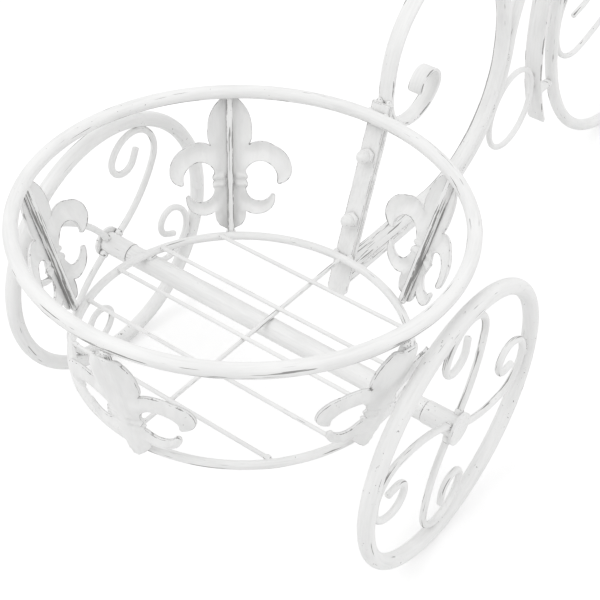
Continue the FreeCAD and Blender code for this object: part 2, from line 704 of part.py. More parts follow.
# the large front wheel is fixed to the fender and does not turn
keep(ring("front_wheel_ring", "sizes.front_wheel_radius", "sizes.wheel_tube", wheel_x, 0, front_axle_height,
          UPRIGHT_PLANE), "front_wheel_ring")
scrolls("front_wheel", size("front_wheel_radius"), size("front_hub_radius"),
        size("front_wheel_radius") / size("rear_wheel_radius"), 1, size("front_arm_angle"), wheel_x, 0,
        front_axle_height)
keep(rod("front_wheel_hub", "sizes.front_hub_radius", "sizes.front_hub_length", wheel_x,
         -size("front_hub_length") / 2, front_axle_height, ALONG_Y), "front_wheel_hub")

# ---------------------------------------------------------------- post, handlebar, upper basket

post_x = basket_x + size("post_x")
fender_face = size("fender_radius") + size("fender_thickness") / 2
nearest = max(0.0, abs(post_x - wheel_x) - size("post_radius"))
post_foot = front_axle_height + math.sqrt(fender_face ** 2 - nearest ** 2) + GAP
post_top = size("bar_height") - size("bar_radius") - GAP
upper_strap_x = post_x + size("post_radius") + GAP + size("strap_thickness") / 2
upper_x = upper_strap_x + size("strap_thickness") / 2 + GAP + size("upper_rim_tube") + size("upper_rim_radius")
upper_floor_height = size("upper_rim_height") - size("upper_depth")
upper_spots = [Vector(post_x - size("post_radius"), 0, upper_floor_height + rise)
               for rise in (size("upper_bolt_height"), size("upper_bolt_height") + size("upper_bolt_pitch"))]

post_blank = helper("Part::Cylinder", "post_blank")
bind(post_blank, Radius="sizes.post_radius")
post_blank.Height = post_top - post_foot
place(post_blank, post_x, 0, post_foot)
keep(drilled("post", post_blank, upper_spots, ALONG_X, 3 * size("post_radius")), "post")

# an angled strap: the upper rim is welded to its top and the upper floor ring to its foot
corner = 4 * size("strap_thickness")
foot_x = upper_x - size("upper_floor_radius") - size("upper_floor_tube") - GAP
upper_route = Route(upper_strap_x, size("upper_rim_height") + size("strap_above_rim"), -90)
upper_route.line(upper_route.y - upper_floor_height - corner).arc(corner, 90)
upper_route.line(foot_x - upper_strap_x - corner)
upper_flat = upright(ribbon("upper_strap_flat", upper_route, size("strap_thickness"), "sizes.strap_width"))
keep(drilled("upper_strap", upper_flat, upper_spots, ALONG_X, 3 * size("post_radius")), "upper_strap")
bolt_set("post", upper_spots, ALONG_X, 2 * size("post_radius") + size("strap_thickness") + 2 * GAP)

basket("upper_basket", ("upper_rim_radius", "upper_rim_tube", "upper_floor_radius", "upper_floor_tube",
                        "upper_depth", "upper_wire_pitch"),
       upper_x, size("upper_rim_height"), 180, False)

# the handlebar: level, with both ends swept back to round knobs
half_bar = Route(0, 0, 90).line(size("bar_straight")).arc(size("bar_bend_radius"), size("bar_angle"))
half_bar.line(size("bar_end"))
bar_route = half_bar.back()
bar_route.steps[-1] = (2 * size("bar_straight"), 0.0)
bar_route.arc(size("bar_bend_radius"), -size("bar_angle")).line(size("bar_end"))
keep(place(tube("handlebar", bar_route, "sizes.bar_radius"), post_x, 0, size("bar_height")), "handlebar")
flat = math.degrees(math.acos(size("bar_radius") / size("knob_radius")))
end_x, end_y, end_heading = half_bar.end()
for side, prefix in ((-1, "right"), (1, "left")):
    knob = helper("Part::Sphere", prefix + "_knob")
    bind(knob, Radius="sizes.knob_radius")
    knob.Angle1 = -flat
    outward = Vector(math.cos(math.radians(end_heading)), side * math.sin(math.radians(end_heading)), 0)
    away = GAP + size("knob_radius") * math.sin(math.radians(flat))
    spot = Vector(post_x + end_x, side * end_y, size("bar_height")) + outward * away
    knob.Placement = Placement(spot, Rotation(Vector(0, 0, 1), outward))
    keep(knob, prefix + "_knob")

# ---------------------------------------------------------------- checks and files

doc.recompute()
for thing in doc.Objects:
    if "Invalid" in thing.State or "Error" in thing.State:
        raise RuntimeError("%s failed: %s" % (thing.Name, thing.State))
for thing in nodes:
    if thing.Shape.isNull() or not thing.Shape.isValid() or not thing.Shape.Solids:
        raise RuntimeError("%s has no valid solid" % thing.Label)

os.makedirs("parts", exist_ok=True)
for thing in nodes:
    thing.Shape.exportStep("parts/%s.step" % thing.Label)

print("nodes", len(nodes), "rear end", round(basket_x - rear_reach, 3), "front end", round(basket_x + front_reach, 3),
      "top", round(size("bar_height") + size("knob_radius"), 3))
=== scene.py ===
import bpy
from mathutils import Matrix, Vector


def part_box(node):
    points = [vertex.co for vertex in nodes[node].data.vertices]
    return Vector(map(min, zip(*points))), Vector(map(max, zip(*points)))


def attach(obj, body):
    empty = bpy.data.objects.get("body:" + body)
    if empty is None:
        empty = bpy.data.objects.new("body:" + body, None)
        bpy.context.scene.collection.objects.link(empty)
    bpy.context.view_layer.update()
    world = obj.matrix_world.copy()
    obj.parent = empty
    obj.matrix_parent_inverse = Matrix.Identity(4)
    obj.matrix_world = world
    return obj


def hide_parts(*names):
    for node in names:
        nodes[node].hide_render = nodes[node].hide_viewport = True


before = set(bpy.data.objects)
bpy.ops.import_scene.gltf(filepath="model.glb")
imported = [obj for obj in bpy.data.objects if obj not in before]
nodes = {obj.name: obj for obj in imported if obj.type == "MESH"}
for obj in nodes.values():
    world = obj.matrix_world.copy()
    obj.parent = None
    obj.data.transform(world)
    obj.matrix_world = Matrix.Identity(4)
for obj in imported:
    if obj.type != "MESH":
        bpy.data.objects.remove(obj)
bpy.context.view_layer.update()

import math

import bpy
from mathutils import Matrix, Vector, noise
from mathutils.geometry import delaunay_2d_cdt

MM = 0.001
PAINT_SLOT = "white_paint"
HARDWARE_SLOT = "painted_hardware"

# ------------------------------------------------------------------ camera

CAMERA_PLACE = Vector((-0.8234, -0.3846, 0.6762))
CAMERA_RIGHT = Vector((0.5979, -0.8006, 0.0404))
CAMERA_UP = Vector((0.5004, 0.4121, 0.7615))
CAMERA_LENS = 76.03
SENSOR_WIDTH = 36.0


def stand_camera():
    """A camera at the photograph's viewing angle."""
    data = bpy.data.cameras.new("photo_camera")
    data.sensor_width = SENSOR_WIDTH
    data.lens = CAMERA_LENS
    camera = bpy.data.objects.new("photo_camera", data)
    bpy.context.scene.collection.objects.link(camera)
    right = CAMERA_RIGHT.normalized()
    back = right.cross(CAMERA_UP).normalized()
    up = back.cross(right)
    turn = Matrix((right, up, back)).transposed().to_4x4()
    camera.matrix_world = Matrix.Translation(CAMERA_PLACE) @ turn
    bpy.context.scene.camera = camera


stand_camera()

# ------------------------------------------------------------------ paint

PAINT = (0.90, 0.90, 0.895, 1.0)
THIN_PAINT = (0.845, 0.845, 0.84, 1.0)   # where the brush left less of it
# The two greys of the wear are matched to the photograph, where fine marks blur with the white
# beside them.  The real undercoat and steel are likely darker.
GREY = (0.46, 0.455, 0.45, 1.0)          # smears, and painted shade with grime in corners
BARE = (0.30, 0.297, 0.293, 1.0)         # the deepest wear

FLOAT, VECTOR = "NodeSocketFloat", "NodeSocketVector"
GRAIN_PLACE, EDGE, RUBBED_AND_SHADED = "grain_place", "edge", "rubbed"   # what a made mesh tells its paint; the rubbed value also carries painted shade beside the leaves' uprights
SMEAR_SHARE = 0.14               # of grey in the broad smears
EDGE_WIDTH = 0.8 * MM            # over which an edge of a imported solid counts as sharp
BUMP_DEPTH = 0.3 * MM


def add(tree, kind, inputs=None, **settings):
    """A node with its settings; an input is a value or the output of another node."""
    made = tree.nodes.new(kind)
    for name, value in settings.items():
        setattr(made, name, value)
    for key, value in (inputs or {}).items():
        if isinstance(value, bpy.types.NodeSocket):
            tree.links.new(value, made.inputs[key])
        else:
            made.inputs[key].default_value = value
    return made


def use(tree, shared, **inputs):
    """A shared group placed in a tree; its inputs are given by name."""
    return add(tree, "ShaderNodeGroup", inputs, node_tree=shared).outputs


def group(name, takes, gives):
    """An empty node group with named inputs and outputs."""
    tree = bpy.data.node_groups.new(name, "ShaderNodeTree")
    for label, kind, start in takes:
        socket = tree.interface.new_socket(label, in_out="INPUT", socket_type=kind)
        if start is not None:
            socket.default_value = start
    for label in gives:
        tree.interface.new_socket(label, in_out="OUTPUT", socket_type=FLOAT)
    return tree, tree.nodes.new("NodeGroupInput").outputs, tree.nodes.new("NodeGroupOutput").inputs


def steps(tree, value, low, high):
    """A smooth step of a value from 0 at low to 1 at high."""
    return add(tree, "ShaderNodeMapRange", {"Value": value, "From Min": low, "From Max": high},
               interpolation_type="SMOOTHSTEP").outputs["Result"]


def combine(tree, operation, first, second, clamp=True):
    """One sum or product of two values."""
    made = add(tree, "ShaderNodeMath", {0: first, 1: second}, operation=operation, use_clamp=clamp)
    return made.outputs[0]


def grained(tree, point, along, across, detail=2.0):
    """Noise drawn out along a bar; along and across are its counts in a metre each way."""
    drawn = add(tree, "ShaderNodeVectorMath", {0: point, 1: (along, across, across)},
                operation="MULTIPLY")
    made = add(tree, "ShaderNodeTexNoise", {"Vector": drawn.outputs[0], "Scale": 1.0,
                                           "Detail": detail, "Roughness": 0.55})
    return made.outputs["Fac"]


def over(tree, value, start, given, share):
    """How far a value lies over a threshold that falls as a given input rises."""
    level = combine(tree, "MULTIPLY", given, share, clamp=False)
    edge = combine(tree, "SUBTRACT", start, level, clamp=False)
    return combine(tree, "SUBTRACT", value, edge, clamp=False)


def make_streaks():
    """Thin worn lines that run along a bar, thicker together where it is rubbed."""
    takes = [("Point", VECTOR, None), ("Cover", FLOAT, 0.5), ("Rubbed", FLOAT, 0.0)]
    tree, given, out = group("rubbed_streaks", takes, ["Lines", "Smears"])
    everywhere = combine(tree, "MULTIPLY", given["Cover"], 0.4, clamp=False)
    both = combine(tree, "ADD", everywhere, given["Rubbed"], clamp=False)
    fine = over(tree, grained(tree, given["Point"], 34.0, 760.0), 0.68, both, 0.19)
    place = over(tree, grained(tree, given["Point"], 17.0, 130.0, 1.0), 0.60, both, 0.42)
    lines = combine(tree, "MULTIPLY", steps(tree, fine, 0.0, 0.05), steps(tree, place, 0.0, 0.08))
    tree.links.new(lines, out["Lines"])
    wide = over(tree, grained(tree, given["Point"], 22.0, 300.0, 3.0), 0.58, both, 0.14)
    tree.links.new(steps(tree, wide, 0.0, 0.22), out["Smears"])
    return tree


def make_chips():
    """Small scattered chips, a millimetre or two wide."""
    takes = [("Point", VECTOR, None), ("Cover", FLOAT, 0.5)]
    tree, given, out = group("small_chips", takes, ["Mask"])
    spots = over(tree, grained(tree, given["Point"], 420.0, 620.0), 0.745, given["Cover"], 0.07)
    region = steps(tree, grained(tree, given["Point"], 24.0, 50.0, 1.0), 0.50, 0.62)
    tree.links.new(combine(tree, "MULTIPLY", steps(tree, spots, 0.0, 0.03), region), out["Mask"])
    return tree


def make_edge_wear():
    """Wear along a sharp edge, broken up along its length; Edge is 1 on the edge itself."""
    takes = [("Point", VECTOR, None), ("Edge", FLOAT, 0.0), ("Cover", FLOAT, 0.5)]
    tree, given, out = group("edge_wear", takes, ["Mask"])
    near = combine(tree, "MULTIPLY", given["Edge"], 0.30, clamp=False)
    patches = grained(tree, given["Point"], 70.0, 260.0, 4.0)
    broken = combine(tree, "ADD", patches, near, clamp=False)
    worn = steps(tree, over(tree, broken, 1.02, given["Cover"], 0.24), 0.0, 0.06)
    beside = steps(tree, given["Edge"], 0.15, 0.6)
    tree.links.new(combine(tree, "MULTIPLY", worn, beside), out["Mask"])
    return tree


def make_sharp_edges():
    """Finds the sharp edges of a piece from how its surface turns there: 1 on the edge."""
    tree, given, out = group("sharp_edges", [("Width", FLOAT, 0.001)], ["Edge"])
    shape = add(tree, "ShaderNodeNewGeometry")
    rounded = add(tree, "ShaderNodeBevel", {"Radius": given["Width"]}, samples=6)
    facing = add(tree, "ShaderNodeVectorMath", {0: rounded.outputs[0], 1: shape.outputs["Normal"]},
                 operation="DOT_PRODUCT")
    tree.links.new(steps(tree, facing.outputs["Value"], 0.985, 0.90), out["Edge"])
    return tree


def make_corner_shade_and_grime():
    """Painted shade in the corners where pieces meet, grey by how hidden a point is, standing also
    for grime and missed paint.
    """
    takes = [("Point", VECTOR, None), ("Reach", FLOAT, 0.003), ("Cover", FLOAT, 0.5)]
    tree, given, out = group("corner_shade_and_grime", takes, ["Mask"])
    hidden = add(tree, "ShaderNodeAmbientOcclusion", {"Distance": given["Reach"]}, samples=8)
    depth = steps(tree, hidden.outputs["AO"], 0.70, 0.25)
    patchy = steps(tree, grained(tree, given["Point"], 160.0, 160.0, 3.0), 0.38, 0.60)
    amount = combine(tree, "MULTIPLY", depth, patchy)
    tree.links.new(combine(tree, "MULTIPLY", amount, given["Cover"]), out["Mask"])
    return tree


def make_coat():
    """The brushed paint itself: faint tone changes, brush marks and small lumps."""
    takes = [("Point", VECTOR, None), ("Brush", FLOAT, 0.45)]
    tree, given, out = group("brushed_coat", takes, ["Tone", "Height", "Roughness"])
    marks = grained(tree, given["Point"], 45.0, 650.0, 3.0)
    cloud = grained(tree, given["Point"], 30.0, 110.0, 3.0)
    lumps = grained(tree, given["Point"], 260.0, 330.0, 2.0)
    tone = add(tree, "ShaderNodeMix", {0: given["Brush"], 2: cloud, 3: marks}).outputs[0]
    height = add(tree, "ShaderNodeMix", {0: 0.35, 2: lumps, 3: marks}).outputs[0]
    tree.links.new(steps(tree, tone, 0.36, 0.60), out["Tone"])
    tree.links.new(height, out["Height"])
    rough = add(tree, "ShaderNodeMapRange", {"Value": lumps, "To Min": 0.40, "To Max": 0.62})
    tree.links.new(rough.outputs[0], out["Roughness"])
    return tree


STREAKS = make_streaks()
CHIPS = make_chips()
EDGE_WEAR = make_edge_wear()
SHARP_EDGES = make_sharp_edges()
CORNER_SHADE_AND_GRIME = make_corner_shade_and_grime()
COAT = make_coat()


def blend(tree, mask, under, top):
    """One colour over another where the mask is 1."""
    made = add(tree, "ShaderNodeMix", {0: mask}, data_type="RGBA")
    for socket, colour in ((made.inputs[6], under), (made.inputs[7], top)):
        if isinstance(colour, bpy.types.NodeSocket):
            tree.links.new(colour, socket)
        else:
            socket.default_value = colour
    return made.outputs[2]


def painted(name, cover=0.5, chips=0.5, edges=0.5, shade_and_grime=0.7, reach=2.5, relief=0.15, brush=0.45,
            grain=None):
    """White brushed paint over dark steel.  A made piece carries its own straightened place,
    edges and rubbed parts.  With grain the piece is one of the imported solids, and grain gives
    the order of its axes, the one along its length first.  Reach is in millimetres."""
    material = bpy.data.materials.new(name)
    material.use_nodes = True
    tree = material.node_tree
    shader = tree.nodes["Principled BSDF"]
    if grain:
        place = add(tree, "ShaderNodeTexCoord").outputs["Object"]
        apart = add(tree, "ShaderNodeSeparateXYZ", {0: place}).outputs
        order = [apart[axis] for axis in grain]
        point = add(tree, "ShaderNodeCombineXYZ", dict(enumerate(order))).outputs[0]
        edge = use(tree, SHARP_EDGES, Width=EDGE_WIDTH)["Edge"]
        rubbed = 0.0
    else:
        point = add(tree, "ShaderNodeAttribute", attribute_name=GRAIN_PLACE).outputs["Vector"]
        edge = add(tree, "ShaderNodeAttribute", attribute_name=EDGE).outputs["Fac"]
        rubbed = add(tree, "ShaderNodeAttribute", attribute_name=RUBBED_AND_SHADED).outputs["Fac"]
    coat = use(tree, COAT, Point=point, Brush=brush)
    streaks = use(tree, STREAKS, Point=point, Cover=cover, Rubbed=rubbed)
    chipped = use(tree, CHIPS, Point=point, Cover=chips)["Mask"]
    worn_edge = use(tree, EDGE_WEAR, Point=point, Edge=edge, Cover=edges)["Mask"]
    # painted shade with grime: grey in corners and between parts, by how hidden they are
    shade_and_grime_mask = use(tree, CORNER_SHADE_AND_GRIME, Point=point, Reach=reach * MM, Cover=shade_and_grime)["Mask"]
    colour = blend(tree, coat["Tone"], THIN_PAINT, PAINT)
    colour = blend(tree, combine(tree, "MULTIPLY", streaks["Smears"], SMEAR_SHARE), colour, GREY)
    colour = blend(tree, shade_and_grime_mask, colour, GREY)
    worn = combine(tree, "MAXIMUM", streaks["Lines"], combine(tree, "MAXIMUM", chipped, worn_edge))
    colour = blend(tree, worn, colour, BARE)
    tree.links.new(colour, shader.inputs["Base Color"])
    tree.links.new(coat["Roughness"], shader.inputs["Roughness"])
    height = combine(tree, "SUBTRACT", coat["Height"], worn, clamp=False)
    bump = add(tree, "ShaderNodeBump", {"Strength": relief, "Distance": BUMP_DEPTH,
                                        "Height": height})
    tree.links.new(bump.outputs[0], shader.inputs["Normal"])
    return material


rim_paint = painted("rim_paint", cover=0.5, chips=0.5)
floor_ring_paint = painted("floor_ring_paint", cover=0.5, chips=0.5)
tube_paint = painted("tube_paint", cover=0.25, chips=0.4)
wheel_paint = painted("wheel_paint", cover=0.20, chips=0.9)
wire_scroll_paint = painted("wire_scroll_paint", cover=0.55, chips=0.6)
flat_bar_paint = painted("flat_bar_paint", cover=0.2, chips=0.35, edges=0.8)
upright_paint = painted("upright_paint", cover=0.4, chips=0.9, edges=0.95, reach=4.0)
leaf_paint = painted("leaf_paint", cover=-0.2, chips=0.25, edges=1.25, reach=3.0, shade_and_grime=0.25,
                     brush=0.1)
weld_paint = painted("weld_paint", cover=0.3, chips=0.7, edges=0.0, shade_and_grime=0.9, relief=0.4)
hardware_paint = painted("hardware_paint", cover=0.2, chips=0.8, edges=0.7, shade_and_grime=1.0, reach=3.0)

ALONG_X, ALONG_Y, ALONG_Z = "XYZ", "YXZ", "ZXY"
wire_paint = painted("wire_paint", cover=0.3, chips=0.2, edges=0.0, grain=ALONG_Y)
long_wire_paint = painted("long_wire_paint", cover=1.3, chips=0.3, edges=0.0, grain=ALONG_X)
strap_paint = painted("strap_paint", cover=0.1, chips=0.3, edges=1.15, grain=ALONG_Z)
axle_paint = painted("axle_paint", cover=0.35, chips=0.5, edges=0.5, grain=ALONG_Y)
post_paint = painted("post_paint", cover=0.5, chips=0.4, edges=0.4, grain=ALONG_Z)

# ------------------------------------------------------------------ made pieces

MOST_PIECES = 1000
GRAIN_STEP = 1.37                # metres between two pieces' places in the noise
places = iter(range(1, MOST_PIECES))


def finished(name, body, material, points, faces, grain, edge, rubbed,
             replaces=()):
    """A new piece from its points in millimetres; grain, edge and rubbed hold a value for
    every corner of every face."""
    mesh = bpy.data.meshes.new(name)
    mesh.from_pydata([tuple(value * MM for value in point) for point in points], [], faces)
    mesh.polygons.foreach_set("use_smooth", [True] * len(mesh.polygons))
    shift = GRAIN_STEP * next(places)
    layer = mesh.attributes.new(GRAIN_PLACE, "FLOAT_VECTOR", "CORNER")
    flat = []
    for along, first, second in grain:
        flat.extend((along * MM + shift, first * MM, second * MM))
    layer.data.foreach_set("vector", flat)
    for label, values in ((EDGE, edge), (RUBBED_AND_SHADED, rubbed)):
        mesh.attributes.new(label, "FLOAT", "CORNER").data.foreach_set("value", values)
    mesh.materials.append(material)
    mesh.update()
    piece = bpy.data.objects.new(name, mesh)
    bpy.context.scene.collection.objects.link(piece)
    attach(piece, body)
    if replaces:
        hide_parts(*replaces)
    return piece


class Pile:
    """Points, faces and what the paint needs to know of them, gathered for one piece."""

    def __init__(self):
        self.points, self.faces, self.grain, self.edge, self.rubbed = [], [], [], [], []

    def face(self, corners, grain, edge, rubbed):
        self.faces.append(corners)
        self.grain.extend(grain)
        self.edge.extend(edge)
        self.rubbed.extend(rubbed)

    def finish(self, name, body, material, slot=PAINT_SLOT, replaces=()):
        return finished(name, body, material, self.points, self.faces, self.grain, self.edge,
                        self.rubbed, replaces)


def smooth(value, low, high):
    """A smooth step from 0 at low to 1 at high."""
    share = min(1.0, max(0.0, (value - low) / (high - low)))
    return share * share * (3 - 2 * share)


# A line is a list of (place, tangent, left, upward, length so far) along a bar's middle.

def bent_line(x, y, heading, bends, origin, across, up, pitch=2.0):
    """Straight runs and arcs in a plane: bends are (length, 0) or (radius, turn in degrees)."""
    normal = across.cross(up)
    heading = math.radians(heading)
    line = []
    run = 0.0

    def note():
        ahead = math.cos(heading) * across + math.sin(heading) * up
        left = -math.sin(heading) * across + math.cos(heading) * up
        line.append((origin + x * across + y * up, ahead, left, normal, run))

    note()
    for amount, turn in bends:
        length = amount if turn == 0 else amount * abs(math.radians(turn))
        fine = pitch if turn == 0 or amount > 30 else pitch * 0.6
        parts = max(2, math.ceil(length / fine))
        for _ in range(parts):
            half = math.radians(turn) / parts / 2
            chord = length / parts if turn == 0 else 2 * amount * math.sin(abs(half))
            x += chord * math.cos(heading + half)
            y += chord * math.sin(heading + half)
            heading += 2 * half
            run += length / parts
            note()
    return line


def hoop_line(radius, centre, across, up, parts):
    """A closed circle; its last place is its first."""
    normal = across.cross(up)
    line = []
    for step in range(parts + 1):
        angle = 2 * math.pi * step / parts
        out = math.cos(angle) * across + math.sin(angle) * up
        ahead = -math.sin(angle) * across + math.cos(angle) * up
        line.append((centre + out * radius, ahead, -out, normal, radius * angle))
    return line


def round_section(radius, sides):
    """A round bar, with no edges."""
    angles = [2 * math.pi * side / sides for side in range(sides)]
    return [(radius * math.cos(angle), radius * math.sin(angle), 0.0) for angle in angles]


def flat_section(thickness, width, corner=0.5):
    """A bar with slightly rounded corners: (left, upward, how much of an edge it is)."""
    half_a, half_b = thickness / 2, width / 2
    fringe = min(1.0, half_a * 0.5)
    section = []
    for turn, (side_a, side_b) in enumerate(((1, 1), (-1, 1), (-1, -1), (1, -1))):
        centre = Vector((side_a * (half_a - corner), side_b * (half_b - corner)))
        for degrees in (0, 30, 60, 90):
            angle = math.radians(90 * turn + degrees)
            section.append((centre.x + corner * math.cos(angle),
                            centre.y + corner * math.sin(angle), 1.0))
        if turn % 2 == 0:
            section.append((side_a * (half_a - corner - fringe * 0.4), side_b * half_b, 0.35))
            section.append((-side_a * (half_a - corner - fringe * 0.4), side_b * half_b, 0.35))
        else:
            section.append((side_a * half_a, side_b * (half_b - corner - fringe), 0.0))
            section.append((side_a * half_a, -side_b * (half_b - corner - fringe), 0.0))
    return section


def no_rub(run, left, upward):
    """A bar that isn't rubbed anywhere."""
    return 0.0


def sweep(pile, line, section, closed=False, rub=no_rub, uneven=0.10):
    """A bar of one section along a line, its surface slightly uneven as brushed paint leaves it."""
    reach = max(math.hypot(a, b) for a, b, _ in section)
    seed = Vector((len(pile.points) * 0.37, 5.1, 9.7))
    total = line[-1][4]
    rings = []
    stations = list(line[:-1]) if closed else list(line)
    shrink = [1.0] * len(stations)
    if not closed:
        first, last = line[0], line[-1]
        near, far = 0.12 * reach, 0.4 * reach
        starts = [(first[0] + first[1] * cut, *first[1:4], cut) for cut in (near, far)]
        stops = [(last[0] - last[1] * cut, *last[1:4], total - cut) for cut in (far, near)]
        between = [spot for spot in line if 0.6 * reach < spot[4] < total - 0.6 * reach]
        stations = [first] + starts + between + stops + [last]
        shrink = [0.72, 0.92] + [1.0] * (len(stations) - 4) + [0.92, 0.72]
    count = len(section)
    base = len(pile.points)
    for (place, _, left, upward, run), size in zip(stations, shrink):
        for a, b, _ in section:
            lump = noise.noise(Vector((run * 0.05, a * 0.35, b * 0.35)) + seed)
            depth = size * (1 - uneven / reach * (0.5 + 0.5 * lump))
            pile.points.append(place + left * (a * depth) + upward * (b * depth))
        rings.append(run)
    if closed:
        rings.append(total)

    def corner(ring, side):
        a, b, sharp = section[side % count]
        run = rings[ring]
        return (run, a, b), sharp, rub(run, a / reach, b / reach)

    number = len(stations)
    for ring in range(number if closed else number - 1):
        after = (ring + 1) % number
        for side in range(count):
            beside = (side + 1) % count
            verts = [base + ring * count + side, base + ring * count + beside,
                     base + after * count + beside, base + after * count + side]
            marks = [corner(ring, side), corner(ring, beside), corner(ring + 1, beside),
                     corner(ring + 1, side)]
            pile.face(verts, *zip(*marks))
    if not closed:
        for ring, order in ((0, range(count - 1, -1, -1)), (number - 1, range(count))):
            sides = list(order)
            marks = [corner(ring, side) for side in sides]
            pile.face([base + ring * count + side for side in sides], *zip(*marks))


WELD_RUB = 0.25


def blob(pile, place, size, toward=Vector((0, 0, 1)), seed=0.0):
    """A lump of weld: size is its three half widths, the last one along toward."""
    rows, around = 7, 12
    turn = toward.to_track_quat("Z", "Y")
    base = len(pile.points)
    spots = []
    for row in range(rows + 1):
        tilt = math.pi * row / rows
        for step in range(around if 0 < row < rows else 1):
            angle = 2 * math.pi * step / around
            out = Vector((math.sin(tilt) * math.cos(angle), math.sin(tilt) * math.sin(angle),
                          math.cos(tilt)))
            lump = 1 + 0.16 * noise.noise(out * 1.9 + Vector((seed * 3.1, seed, place.x + place.y)))
            spot = Vector((out.x * size[0], out.y * size[1], out.z * size[2])) * lump
            spots.append(spot)
            pile.points.append(place + turn @ spot)

    def index(row, step):
        if row == 0:
            return 0
        if row == rows:
            return 1 + (rows - 1) * around
        return 1 + (row - 1) * around + step % around

    for row in range(rows):
        for step in range(around):
            ring = [index(row, step), index(row + 1, step), index(row + 1, step + 1),
                    index(row, step + 1)]
            ring = [spot for order, spot in enumerate(ring) if spot not in ring[:order]]
            pile.face([base + spot for spot in ring], [tuple(spots[spot]) for spot in ring],
                      [0.0] * len(ring), [WELD_RUB] * len(ring))


X, Y, Z = Vector((1, 0, 0)), Vector((0, 1, 0)), Vector((0, 0, 1))
GROUND = Vector((0, 0, 0))


def hoop(node, body, material, across, up, rub=no_rub, sides=20):
    """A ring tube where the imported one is, its size read from that one's box."""
    low, high = (Vector(corner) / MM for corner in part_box(node))
    axis = across.cross(up)
    wall = abs((high - low).dot(axis)) / 2
    radius = (high - low).dot(across) / 2 - wall
    pile = Pile()
    line = hoop_line(radius, (low + high) / 2, across, up, math.ceil(2 * math.pi * radius / 3.0))
    sweep(pile, line, round_section(wall, sides), True, rub)
    pile.finish(node + "_tube", body, material, replaces=[node])
    return (low + high) / 2, radius, wall


def under_rub(run, left, upward):
    """Darker towards the bottom of a level ring: more dark lines along its underside, and some on
    its outer side.
    """
    return 0.95 * smooth(-upward, 0.45, 0.72) + 0.40 * smooth(-left, 0.75, 0.98)


def tread_rub(run, left, upward):
    """Wheels are rubbed along both shoulders of their tread."""
    return 0.22 * smooth(-left, 0.2, 0.6) * smooth(abs(upward), 0.35, 0.7)


# ------------------------------------------------------------------ rings and wheels

FRAME, RIGHT, LEFT = "frame", "right_wheel", "left_wheel"
rim_centre, rim_radius, rim_wall = hoop("basket_rim", FRAME, rim_paint, X, Y, under_rub, 24)
floor_centre, floor_radius, floor_wall = hoop("basket_floor_ring", FRAME, floor_ring_paint,
                                              X, Y, under_rub)
upper_centre, upper_radius, upper_wall = hoop("upper_basket_rim", FRAME, rim_paint,
                                              X, Y, under_rub, 24)
upper_floor_centre, upper_floor_radius, upper_floor_wall = hoop("upper_basket_floor_ring", FRAME,
                                                                floor_ring_paint, X, Y, under_rub)
ring_centre, ring_radius, ring_wall = hoop("frame_ring", FRAME, wire_scroll_paint, X, Z)
wheels = {FRAME: hoop("front_wheel_ring", FRAME, wheel_paint, X, Z, tread_rub, 24),
          RIGHT: hoop("right_wheel_ring", RIGHT, wheel_paint, X, Z, tread_rub, 24),
          LEFT: hoop("left_wheel_ring", LEFT, wheel_paint, X, Z, tread_rub, 24)}

ARM_WIRE = 2.5
# a scroll arm from the hub: where it starts, its heading, and its runs and bends
ROLLING_ARM = (6.59, -4.709, -33.39, [(107.757, 33.39), (22.5, 180), (11.3, 180), (9.0, 0)])
FRONT_ARM = (9.167, 6.259, 33.04, [(246.84, -33.04), (46.17, -180), (23.19, -180), (18.47, 0)])
WHEEL_ARMS = {FRAME: (FRONT_ARM, 12.0), RIGHT: (ROLLING_ARM, 0.0), LEFT: (ROLLING_ARM, 66.0)}


def arm_rub(run, left, upward):
    """The scrolls are rubbed on the outside of their bends."""
    return 0.25 * smooth(abs(left), 0.55, 0.9)


def arm_lines(body):
    """The middle lines of a wheel's four scroll arms, from its hub out to its ring."""
    (x, y, heading, bends), first_angle = WHEEL_ARMS[body]
    for quarter in range(4):
        turn = math.radians(first_angle + 90 * quarter)
        across = math.cos(turn) * X + math.sin(turn) * Z
        up = -math.sin(turn) * X + math.cos(turn) * Z
        yield bent_line(x, y, heading, bends, wheels[body][0], across, up)


def wheel_scrolls(prefix, body):
    """Four scroll arms in a wheel."""
    pile = Pile()
    for line in arm_lines(body):
        sweep(pile, line, round_section(ARM_WIRE, 14), rub=arm_rub)
    pile.finish(prefix + "_scroll_wires", body, wire_scroll_paint,
                replaces=[prefix + "_scroll_a", prefix + "_scroll_b"])


wheel_scrolls("right_wheel", RIGHT)
wheel_scrolls("left_wheel", LEFT)
wheel_scrolls("front_wheel", FRAME)

# ------------------------------------------------------------------ frame

# a bar's route in the frame's plane: x and z of its start, its heading, its runs and bends
MAIN_TUBE = (-214.783, 100.0, 0, [(111.158, 0), (90.0, 90), (126.5, 96.0)])
SECOND_TUBE = (-218.253, 88.9, 0, [(114.628, 0), (101.1, 90), (120.0, -38.726), (109.0, 0),
                                   (234.35, -9.0)])
FLAT_SCROLL = (-140.802, 212.189, 98, [(12.0, -228), (34.0, -140), (10.0, 0), (64.908, -117.758),
                                      (119.15, -21.0)])
FENDER = (80.89, 83.693, 121.7, [(228.0, -159.7)])
HANDLEBAR = (-127.233, 125.121, 342, [(96.0, 0), (52.0, -72), (92.0, 0), (52.0, -72), (96.0, 0)])


def main_rub(run, left, upward):
    """The seam with the second tube, the foot where pots scrape, and one long shoulder."""
    seam = 0.9 * smooth(-left, 0.80, 0.97)
    foot = 0.38 * (1 - smooth(run, 70.0, 118.0))
    shoulder = 0.95 * smooth(0.6 * left - 0.8 * upward, 0.90, 0.99)
    return max(seam, foot, shoulder)


def second_rub(run, left, upward):
    """The same seam, and its foot under the basket."""
    seam = 0.9 * smooth(left, 0.80, 0.97) * (1 - smooth(run, 255.0, 280.0))
    return max(seam, 0.38 * (1 - smooth(run, 60.0, 100.0)))


